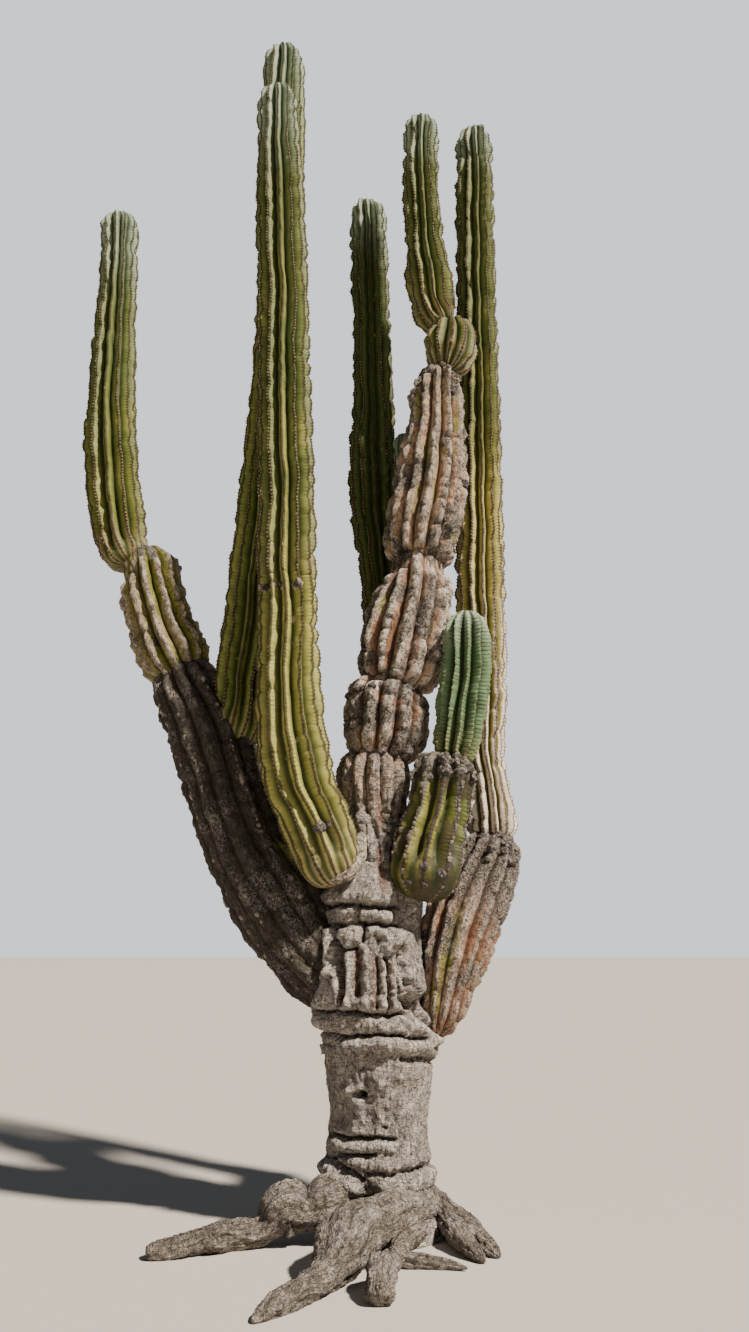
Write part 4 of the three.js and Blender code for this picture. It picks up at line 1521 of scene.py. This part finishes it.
leftBoughLower = {
    "node": "left_bough_lower",
    "seed": 21,
    "groove": [(0, 0.035), (0.5, 0.055), (0.85, 0.09), (1, 0.15)],
    "foot": (1, 1),
    "tip": (0.12, 0.72),
    "line": [
        (-0.15, 0, 1.3, 0.21), (-0.375, 0.03, 1.53, 0.27), (-0.585, 0.06, 1.79, 0.315),
        (-0.745, 0.09, 2.03, 0.325), (-0.91, 0.12, 2.3, 0.305), (-1.055, 0.15, 2.64, 0.3),
        (-1.205, 0.18, 3.07, 0.305), (-1.43, 0.2, 3.52, 0.258), (-1.465, 0.2, 3.62, 0.24),
    ],
    "grow": {"Ragged Ends": 0.16, "Core": 0.78, "Crest Width": 0.5},
    # look: dark grey-brown throughout, a painted shadow over the whole lower bough
    "look": {"flank": "#3d3731", "flankToo": "#47423a", "crest": "#4e4943", "crestDark": "#3e3934",
             "worn": "#756d63", "innerness": 0.1, "greenness": 0.2, "crustiness": 0.55},
}

leftBoughUpper = {
    "node": "left_bough_upper",
    "seed": 22,
    "groove": [(0, 0.15), (1, 0.2)],
    "foot": (0.12, 0.75),
    "tip": (0.15, 0.6),
    "line": [
        (-1.45, 0.2, 3.56, 0.236), (-1.53, 0.2, 3.7, 0.262), (-1.605, 0.205, 3.85, 0.252),
        (-1.705, 0.21, 4.14, 0.244), (-1.765, 0.215, 4.38, 0.236), (-1.8, 0.22, 4.54, 0.216),
    ],
    "grow": {"Ragged Ends": 0.1, "Core": 0.75, "Slant": 0.24, "Slant Turn": 1.5},
    "look": {"flank": "#8c8158", "flankToo": "#978c5e", "crest": "#a8998a", "crestDark": "#75685c",
             "innerness": 0.1, "greenness": 0.75, "crustiness": 0.2, "green": "#7b7c2c"},
}

middleBulge = {
    "node": "middle_stem_bulge",
    "seed": 23,
    "groove": [(0, 0.15), (1, 0.15)],
    "foot": (0.15, 0.62),
    "tip": (0.12, 0.72),
    "line": [
        (-0.01, 0.03, 2.89, 0.262), (0.02, 0.035, 3.1, 0.3), (0.03, 0.04, 3.26, 0.304),
        (0.075, 0.05, 3.44, 0.28),
    ],
    "grow": {"Ragged Ends": 0.1, "Core": 0.8, "Roundness": 0.9},
    "look": {"flank": "#8c614a", "innerness": 0.6, "greenness": 0.05, "crustiness": 0.72,
             "crestWidth": 0.5, "pitRarity": 0.45},
}

middleLower = {
    "node": "middle_stem_lower",
    "seed": 24,
    "groove": [(0, 0.15), (1, 0.15)],
    "foot": (0.09, 0.82),
    "tip": (0.08, 0.84),
    "line": [
        (0.09, 0.05, 3.4, 0.28), (0.112, 0.052, 3.5, 0.294), (0.145, 0.058, 3.7, 0.322),
        (0.196, 0.062, 3.93, 0.314), (0.24, 0.068, 4.17, 0.28), (0.268, 0.07, 4.4, 0.256),
    ],
    "grow": {"Ragged Ends": 0.16, "Core": 0.76, "Slant": 0.1, "Slant Turn": 1.2, "Ragged Feet": 0.06},
    "look": {"greenness": 0.4, "flank": "#99725a", "innerness": 0.55, "crustiness": 0.66},
}

middleUpper = {
    "node": "middle_stem_upper",
    "seed": 25,
    "groove": [(0, 0.15), (1, 0.22)],
    "foot": (0.09, 0.84),
    "tip": (0.08, 0.8),
    "line": [
        (0.262, 0.07, 4.36, 0.254), (0.285, 0.068, 4.57, 0.28), (0.345, 0.062, 4.89, 0.284),
        (0.39, 0.06, 5.23, 0.27), (0.418, 0.056, 5.5, 0.226), (0.424, 0.054, 5.8, 0.212),
        (0.432, 0.05, 6, 0.198),
    ],
    "grow": {"Ragged Ends": 0.1, "Core": 0.7, "Slant": 0.16, "Slant Turn": 0.9, "Ragged Feet": 0.08},
    "look": {"greenness": 0.5, "crest": "#b4a799", "innerness": 0.3, "flankToo": "#b69d82",
             "crustiness": 0.6},
}

rightBough = {
    "node": "right_bough",
    "seed": 26,
    "groove": [(0, 0.07), (0.6, 0.1), (1, 0.14)],
    "foot": (0.27, 0.2),
    "tip": (0.13, 0.66),
    "line": [
        (0.34, 0.005, 1.11, 0.15), (0.392, 0.025, 1.33, 0.176), (0.45, 0.07, 1.57, 0.236),
        (0.534, 0.13, 1.82, 0.264), (0.63, 0.18, 2.03, 0.262), (0.722, 0.235, 2.22, 0.23),
        (0.786, 0.265, 2.4, 0.196),
    ],
    "grow": {"Ragged Ends": 0.08, "Core": 0.8, "Roundness": 0.3, "Crest Width": 0.4, "Relief": 0.01,
             "Crinkle": 0.007},
    "scabs": {"Missing": 0.55, "Size": 0.8, "Size Spread": 0.6, "Sink": 0.004},
    "look": {"flank": "#957360", "flankToo": "#ac9280", "inner": "#8f6549", "crest": "#b8aea4",
             "crestWidth": 0.24, "crustiness": 0.5, "greenness": 0.35, "deadTop": 0.75, "dashes": 0.7},
}

corkLimbs = [leftBoughLower, leftBoughUpper, middleBulge, middleLower, middleUpper, rightBough]
for own in corkLimbs:
    limb = fullLimb(own, corkBasics, corkSection)
    name, slot = limb["piece"], slotOf[limb["node"]]
    skin = corkSkin(name + "Skin", {**corkLook, "seed": limb["seed"], **limb["look"]})
    pieces[name] = growLimb(limb, skin, cavity=True)
    crestScabs = growRows(limb, pieces[name], "Scabs", scab, scabs)
    finishPiece(pieces[name], [limb["node"]])
    finishPiece(crestScabs)
print("corky limbs grown:", len(corkLimbs))

barkLook = {
    "base": "#9b928b",
    "baseToo": "#b5aca4",
    "pale": "#d5cdc5",
    "paleness": 0.45,
    "stain": "#6d5a4b",
    "stains": 0.35,
    "worn": "#d6cdc2",
    "inner": "#85604f",
    "deep": "#251e19",
    "dashes": 0.4,
    "pitScale": 42.0,
    "pitRarity": 0.4,
    "fibreScale": 52.0,
    "wrinkleTone": 0.5,
    "strandTone": 0.25,
    "wrinkled": 1.0,
    "stranded": 0.6,
    "crackScale": 28.0,
    "crossCracks": 0.7,
    "head": "#c3a68f",
    "spots": "#3c342f",
    "headFrom": (2.25, 2.75),
    "grainScale": 70.0,
    "mottle": 0.7,
    "broadScale": 3.0,
    "paleScale": 13.0,
    "stainScale": 6.0,
    "spotScale": 10.0,
    "spotted": 0.42,
    "crackWidth": 0.035,
    "dashSpacing": 0.014,
    "roughness": 0.94,
    "bump": 1.0,
    "bumpHeight": 0.02,
    "specular": 0.2,
}

# x and z of what the front of the trunk shows: paths with a width and a height, and ellipses
trunkFeatures = {
    "waver": 0.008,
    "strength": 1.45,
    "strokes": [
        ([(-0.36, 1.985), (-0.22, 1.94), (-0.02, 1.93)], 0.06, 0.022),
        ([(-0.38, 2.02), (-0.24, 2.1), (-0.15, 2.2)], 0.035, -0.02),
        ([(-0.42, 1.9), (0.12, 1.895)], 0.024, -0.04),
        ([(-0.16, 1.89), (-0.165, 1.79)], 0.016, -0.014),
        ([(-0.035, 1.89), (-0.035, 1.79)], 0.014, -0.012),
        ([(-0.42, 1.785), (0.1, 1.778)], 0.02, -0.04),
        ([(-0.122, 1.79), (-0.125, 1.68)], 0.014, -0.03),
        ([(0.07, 2.27), (0.062, 2.0), (0.07, 1.8)], 0.022, -0.04),
        ([(-0.336, 1.77), (-0.335, 1.68), (-0.32, 1.5)], 0.034, 0.045),
        ([(-0.292, 1.75), (-0.29, 1.66), (-0.25, 1.625), (-0.17, 1.63)], 0.016, -0.034),
        ([(-0.32, 1.5), (-0.29, 1.4), (-0.272, 1.28)], 0.026, 0.024),
        ([(-0.264, 1.68), (-0.262, 1.3)], 0.03, -0.045),
        ([(-0.214, 1.64), (-0.214, 1.3)], 0.03, 0.024),
        ([(-0.162, 1.6), (-0.162, 1.36)], 0.024, -0.028),
        ([(-0.109, 1.62), (-0.109, 1.3)], 0.026, 0.022),
        ([(-0.066, 1.58), (-0.066, 1.3)], 0.018, 0.006),
        ([(-0.04, 1.58), (-0.04, 1.3)], 0.014, -0.02),
        ([(-0.005, 1.6), (-0.005, 1.3)], 0.024, 0.022),
        ([(0.026, 1.58), (0.026, 1.28)], 0.014, -0.028),
        ([(0.06, 1.56), (0.058, 1.3)], 0.024, 0.018),
        ([(0.092, 1.6), (0.09, 1.34)], 0.016, -0.024),
        ([(-0.25, 1.312), (0.08, 1.308)], 0.045, 0.018),
        ([(0.13, 1.7), (0.178, 1.51), (0.2, 1.38)], 0.07, 0.03),
        ([(0.1, 1.66), (0.125, 1.42)], 0.014, -0.02),
        ([(0.17, 1.66), (0.205, 1.46)], 0.012, -0.012),
        ([(0.15, 1.215), (0.25, 1.15), (0.34, 1.08)], 0.034, 0.034),
        ([(0.19, 1.265), (0.27, 1.2), (0.34, 1.14)], 0.022, -0.045),
        ([(-0.45, 1.262), (0.13, 1.258)], 0.017, -0.035),
        ([(-0.42, 1.195), (0.1, 1.192)], 0.05, 0.018),
        ([(-0.45, 1.13), (0.1, 1.128), (0.3, 1.115)], 0.016, -0.038),
        ([(-0.25, 1.085), (0.15, 1.08), (0.26, 1.065)], 0.05, 0.018),
        ([(0.12, 1.0), (0.22, 0.985), (0.3, 0.97)], 0.032, -0.03),
        ([(-0.1, 0.97), (-0.09, 0.6)], 0.05, -0.006),
        ([(-0.33, 0.56), (-0.1, 0.558), (0.06, 0.55)], 0.017, -0.036),
        ([(-0.31, 0.515), (0.05, 0.51)], 0.036, 0.018),
        ([(-0.26, 0.467), (-0.05, 0.465)], 0.016, -0.03),
        ([(-0.25, 0.42), (0.25, 0.43)], 0.036, 0.012),
        ([(-0.3, 0.43), (-0.22, 0.385), (-0.13, 0.34)], 0.018, -0.03),
        ([(-0.33, 0.37), (-0.274, 0.33), (-0.17, 0.27)], 0.055, 0.045),
        ([(-0.1, 0.38), (0.3, 0.38)], 0.02, -0.016),
        ([(0.0, 0.31), (0.3, 0.32)], 0.05, 0.02),
        ([(-0.15, 0.245), (0.3, 0.25)], 0.018, -0.026),
        ([(-0.13, 2.46), (-0.12, 2.4), (-0.075, 2.24)], 0.055, 0.036),
        ([(-0.05, 2.4), (-0.02, 2.2), (-0.015, 2.06)], 0.022, -0.02),
        ([(0.0, 2.52), (0.12, 2.5)], 0.014, -0.012),
        ([(0.01, 2.45), (0.12, 2.44)], 0.014, -0.012),
        ([(0.01, 2.38), (0.1, 2.375)], 0.014, -0.01),
    ],
    "lumps": [
        (-0.132, 2.45, 0.05, 0.055, 0.016),
        (-0.12, 2.01, 0.26, 0.13, 0.03),
        (0.03, 2.0, 0.07, 0.1, 0.02),
        (-0.244, 1.848, 0.09, 0.06, 0.034),
        (-0.092, 1.841, 0.08, 0.058, 0.032),
        (0.022, 1.835, 0.07, 0.056, 0.032),
        (-0.205, 1.722, 0.082, 0.085, 0.06),
        (-0.075, 1.742, 0.05, 0.034, 0.028),
        (0.0, 1.715, 0.05, 0.04, 0.034),
        (0.07, 1.69, 0.045, 0.045, 0.03),
        (0.145, 2.0, 0.09, 0.26, -0.05),
        (0.03, 1.655, 0.06, 0.055, 0.034),
        (0.014, 1.588, 0.024, 0.022, -0.04),
        (0.165, 1.45, 0.09, 0.12, 0.02),
        (0.15, 1.32, 0.06, 0.05, -0.06),
        (0.2, 1.27, 0.03, 0.03, -0.03),
        (0.3, 1.34, 0.09, 0.1, -0.034),
        (-0.02, 1.0, 0.05, 0.05, -0.014),
        (0.1, 0.93, 0.16, 0.09, 0.014),
        (-0.15, 0.798, 0.047, 0.03, -0.07),
        (-0.225, 0.82, 0.05, 0.035, 0.018),
        (-0.26, 0.68, 0.11, 0.16, -0.022),
        (0.12, 0.72, 0.14, 0.12, 0.014),
        (-0.02, 0.86, 0.1, 0.08, 0.012),
        (0.005, 0.63, 0.026, 0.016, -0.022),
        (-0.3, 0.28, 0.08, 0.07, 0.02),
    ],
    "recesses": [
        ([(-0.162, 1.61), (-0.162, 1.36)], 0.034),
        ([(-0.055, 1.59), (-0.05, 1.31)], 0.032),
        ([(-0.26, 1.5), (-0.255, 1.32)], 0.03),
        ([(0.03, 1.56), (0.028, 1.31)], 0.02),
        ([(-0.03, 2.24), (-0.016, 2.06), (0.0, 1.98)], 0.034),
        ([(-0.03, 2.62), (-0.02, 2.42)], 0.028),
    ],
    "rings": [
        (1.9, 0.028, -0.035), (1.84, 0.05, 0.024), (1.785, 0.024, -0.035), (1.262, 0.022, -0.034),
        (1.195, 0.05, 0.02), (1.13, 0.02, -0.036), (1.075, 0.05, 0.02), (0.7, 0.04, -0.012),
        (0.558, 0.022, -0.034), (0.515, 0.036, 0.018), (0.467, 0.02, -0.028), (0.36, 0.05, 0.02),
        (0.25, 0.024, -0.026), (2.3, 0.03, -0.014),
    ],
    "radius": 0.33,
    "rearLumps": {
        "count": 26,
        "angles": (1.2, 5.08),
        "levels": (0.3, 2.75),
        "widths": (0.05, 0.12),
        "heights": (0.04, 0.14),
        "pushes": (-0.02, 0.04),
    },
    "rearRidges": {
        "count": 22,
        "angles": (1.5, 4.8),
        "levels": [1.44, 1.44, 2.05, 0.83],
        "width": 0.022,
        "height": 0.19,
        "push": 0.018,
        "hollowAside": 0.035,
        "hollowHeight": 0.15,
        "hollow": 0.8,
    },
    "seed": 31,
}

trunk = {
    "piece": "trunkBark",
    "ribs": 13,
    "columns": 19,
    "step": 0.0092,
    "seed": 31,
    "groove": [(0, 0.03), (0.72, 0.04), (0.82, 0.14), (0.9, 0.28), (1, 0.3)],
    "foot": (1, 1),
    "levelFoot": True,
    "tip": (0.15, 0.62),
    "line": [
        (0, 0, 0, 0.4), (0, 0, 0.12, 0.345), (0, 0, 0.23, 0.312), (-0.03, 0, 0.4, 0.326),
        (-0.035, 0, 0.56, 0.306), (-0.03, 0.005, 0.78, 0.32), (-0.03, 0.005, 0.96, 0.342),
        (-0.025, 0.01, 1.08, 0.378), (-0.06, 0.01, 1.19, 0.352), (-0.095, 0.015, 1.33, 0.38),
        (-0.097, 0.015, 1.57, 0.355), (-0.082, 0.02, 1.8, 0.33), (-0.082, 0.02, 1.95, 0.345),
        (-0.095, 0.02, 2.09, 0.296), (-0.075, 0.02, 2.23, 0.222), (-0.06, 0.025, 2.35, 0.198),
        (-0.06, 0.025, 2.5, 0.214), (-0.065, 0.03, 2.66, 0.246), (-0.062, 0.03, 2.8, 0.258),
        (-0.05, 0.03, 2.94, 0.246),
    ],
    "grow": {"Groove Depth": 1.0, "Crest Width": 0.35, "Roundness": 0.8, "Relief": 0.019,
             "Relief Scale": 17.0, "Crinkle": 0.01, "Crinkle Scale": 13.0, "Bulge": 0.008,
             "Crease Depth": 0.006, "Crease Spacing": 0.028, "Wander": 0.03, "Unevenness": 0.02},
    "features": trunkFeatures,
}

bark = barkSkin("trunkBark", barkLook)
trunkPiece = growLimb(trunk, bark, cavity=True)
finishPiece(trunkPiece, ["trunk"])

roots = {
    "root_left": [
        (-0.15, -0.09, 0.185, 0.125), (-0.33, -0.23, 0.205, 0.165), (-0.455, -0.268, 0.165, 0.105),
        (-0.57, -0.285, 0.195, 0.154), (-0.7, -0.325, 0.095, 0.084), (-0.83, -0.37, 0.08, 0.076),
        (-0.95, -0.43, 0.074, 0.082), (-1.02, -0.455, 0.066, 0.07), (-1.15, -0.52, 0.05, 0.066),
        (-1.31, -0.56, 0.03, 0.056),
    ],
    "root_front": [
        (0.215, -0.09, 0.17, 0.12), (0.11, -0.275, 0.175, 0.13), (-0.06, -0.5, 0.175, 0.132),
        (-0.185, -0.735, 0.165, 0.166), (-0.245, -0.92, 0.13, 0.15), (-0.29, -1.06, 0.085, 0.09),
        (-0.36, -1.19, 0.066, 0.07), (-0.445, -1.3, 0.05, 0.066), (-0.54, -1.43, 0.034, 0.054),
        (-0.61, -1.52, 0.012, 0.034),
    ],
    "root_right": [
        (0.19, -0.03, 0.21, 0.12), (0.339, -0.07, 0.14, 0.09), (0.44, -0.205, 0.092, 0.08),
        (0.538, -0.4, 0.056, 0.07), (0.63, -0.54, 0.012, 0.044),
    ],
    "root_right_fork": [
        (0.38, -0.17, 0.09, 0.07), (0.404, -0.327, 0.078, 0.066), (0.472, -0.506, 0.048, 0.058),
        (0.535, -0.64, 0.016, 0.038),
    ],
    "root_stub": [
        (0.2, -0.28, 0.09, 0.066), (0.113, -0.488, 0.07, 0.058), (0.04, -0.8, 0.055, 0.052),
        (0.005, -0.98, 0.075, 0.056), (-0.012, -1.07, 0.105, 0.076), (-0.028, -1.22, 0.088, 0.08),
        (-0.036, -1.31, 0.03, 0.07),
    ],
    "root_slim": [
        (0.07, -0.69, 0.042, 0.042), (0.189, -0.705, 0.035, 0.038), (0.33, -0.725, 0.026, 0.03),
        (0.435, -0.762, 0.016, 0.016),
    ],
    "root_rear_left": [
        (-0.1, 0.14, 0.19, 0.13), (-0.18, 0.35, 0.125, 0.1), (-0.23, 0.56, 0.072, 0.076),
        (-0.31, 0.75, 0.012, 0.044),
    ],
    "root_rear_right": [
        (0.12, 0.14, 0.2, 0.135), (0.2, 0.38, 0.14, 0.11), (0.24, 0.63, 0.078, 0.082),
        (0.33, 0.87, 0.012, 0.046),
    ],
}

rootBasics = {
    "ribs": 7,
    "columns": 13,
    "step": 0.009,
    "groove": [(0, 0.08), (1, 0.14)],
    "foot": (1, 1),
    "tip": (0.14, 0.2),
    "onGround": True,
}
rootTips = {"root_left": (0.05, 0.6), "root_stub": (0.06, 0.6)}
rootSection = {
    "Groove Depth": 1.3,
    "Roundness": 0.6,
    "Relief": 0.014,
    "Relief Scale": 17.0,
    "Crinkle": 0.008,
    "Crinkle Scale": 11.0,
    "Wander": 0.09,
    "Unevenness": 0.2,
    "Bulge": 0.02,
    "Crease Depth": 0.006,
}
rootLook = {
    **barkLook,
    "base": "#7f766e",
    "baseToo": "#988e85",
    "pale": "#b5ada4",
    "wrinkleTone": 0.3,
    "strandTone": 0.85,
    "wrinkled": 0.5,
    "stranded": 2.4,
    "fibreScale": 44.0,
    "dashes": 0.0,
}
rootBark = barkSkin("rootBark", rootLook)


def restOnGround(mesh):  # nothing reaches below the ground
    points = readAll(mesh.vertices, "co", 3)
    points[:, 2] = np.maximum(points[:, 2], 0)
    movePoints(mesh, points)


for seed, (node, line) in enumerate(roots.items(), 41):
    own = {"node": node, "seed": seed, "line": line, "tip": rootTips.get(node, rootBasics["tip"])}
    piece = growLimb(fullLimb(own, rootBasics, rootSection), rootBark, cavity=True)
    restOnGround(piece.data)
    finishPiece(piece, [node])
print("roots grown:", len(roots))

crustLook = {
    **barkLook,
    "base": "#5a534d",
    "baseToo": "#8a827b",
    "pale": "#a8a099",
    "stain": "#332c27",
    "deep": "#1c1815",
    "pitRarity": 0.25,
    "dashes": 0.0,
    "headFrom": (20.0, 21.0),
}
scarLook = {**crustLook, "base": "#ac9e8a", "baseToo": "#c4b7a4", "pale": "#ded3c2", "paleness": 0.6}
crustBark = barkSkin("crustBark", crustLook)
scarBark = barkSkin("scarBark", scarLook)

rims = {
    "frontBoughCrust": {
        "on": "frontBough",
        "axis": (0.415, -0.172),
        "levels": (2.7, 2.87),
        "count": 90,
        "sizes": (0.014, 0.04),
        "seed": 1,
    },
    "rightBoughCrust": {
        "on": "rightBough",
        "axis": (0.762, 0.25),
        "levels": (2.2, 2.4),
        "count": 40,
        "sizes": (0.02, 0.045),
        "seed": 2,
    },
    "bulgeCrust": {
        "on": "middleStemBulge",
        "axis": (0.06, 0.045),
        "levels": (3.34, 3.42),
        "count": 26,
        "sizes": (0.015, 0.034),
        "seed": 3,
    },
    "stemCrust": {
        "on": "middleStemUpper",
        "axis": (0.43, 0.052),
        "levels": (5.86, 5.98),
        "count": 22,
        "sizes": (0.016, 0.034),
        "seed": 4,
    },
}
rimLumps = {"Roughness": 0.6, "Flatness": 0.9, "Subdivisions": 3}
for name, rim in rims.items():
    spots = rimSpots(surfaceOf(pieces[rim["on"]]), rim)
    addKnots(name, spots, crustBark, Seed=rim["seed"], **rimLumps)

armScars = [
    (-0.795, 3.975, 0.042), (-0.73, 3.985, 0.02), (-0.68, 3.97, 0.036), (-0.63, 3.98, 0.018),
    (-0.58, 3.977, 0.044),
]
scarHearts = [(-0.79, 3.975, 0.024), (-0.675, 3.97, 0.02), (-0.575, 3.975, 0.026)]
armScab = [(-0.384, 2.369, 0.042), (-0.425, 2.35, 0.03), (-0.35, 2.38, 0.024), (-0.4, 2.34, 0.026)]
armCollar = {
    "piece": "armCollar",
    "ribs": 7,
    "columns": 10,
    "seed": 51,
    "step": 0.008,
    "groove": [(0, 0.03), (1, 0.03)],
    "foot": (0.05, 0.2),
    "tip": (0.05, 0.2),
    "line": [
        (-0.14, -0.2, 2.36, 0.034), (-0.15, -0.26, 2.28, 0.046), (-0.165, -0.325, 2.19, 0.052),
        (-0.215, -0.38, 2.11, 0.05), (-0.28, -0.4, 2.07, 0.044), (-0.35, -0.4, 2.06, 0.034),
    ],
    "grow": {"Relief": 0.012, "Relief Scale": 20.0, "Crinkle": 0.006, "Unevenness": 0.15},
}
stemKnots = [
    (0.287, 4.73, 0.03), (0.622, 5.0, 0.034), (0.146, 4.407, 0.036), (0.452, 4.666, 0.03),
    (0.485, 4.6, 0.024), (0.502, 4.573, 0.032), (0.531, 4.469, 0.026), (0.47, 4.52, 0.022),
    (0.118, 3.676, 0.03), (-0.075, 3.613, 0.024), (0.2, 4.02, 0.026), (0.05, 3.86, 0.024),
    (0.24, 3.8, 0.022), (0.524, 5.732, 0.034), (0.38, 5.2, 0.022),
]
boughScabs = [
    (0.255, 2.135, 0.03), (0.16, 2.04, 0.026), (0.36, 2.09, 0.028), (0.26, 2.03, 0.022), (0.32, 2.2, 0.018),
]
heartLift = 0.012
armSides = [surfaceOf(pieces["leftFrontArmLower"]), surfaceOf(trunkPiece)]
stemSides = [surfaceOf(pieces[name]) for name in ("middleStemLower", "middleStemUpper", "middleStemBulge")]
boughSides = [surfaceOf(pieces["frontBough"])]
hearts = [
    (point + normal * heartLift, normal, size) for point, normal, size in seenSpots(armSides, scarHearts)
]
addKnots("scarHearts", hearts, crustBark, Flatness=0.6)
addKnots("armScars", seenSpots(armSides, armScars), scarBark, Flatness=0.45)
addKnots("armScab", seenSpots(armSides, armScab), crustBark, Flatness=0.5)
finishPiece(growLimb(armCollar, scarBark, cavity=True))
addKnots("stemKnots", seenSpots(stemSides, stemKnots), crustBark, Roughness=0.6)
addKnots("boughScabs", seenSpots(boughSides, boughScabs), crustBark, Flatness=0.5)
print("knots grown")

for template in (areole, scab):
    bpy.data.objects.remove(template)
triangles = [sum(len(face.vertices) - 2 for face in piece.data.polygons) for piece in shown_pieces()]
print("triangles:", sum(triangles), "at most", max(triangles), "in one piece")
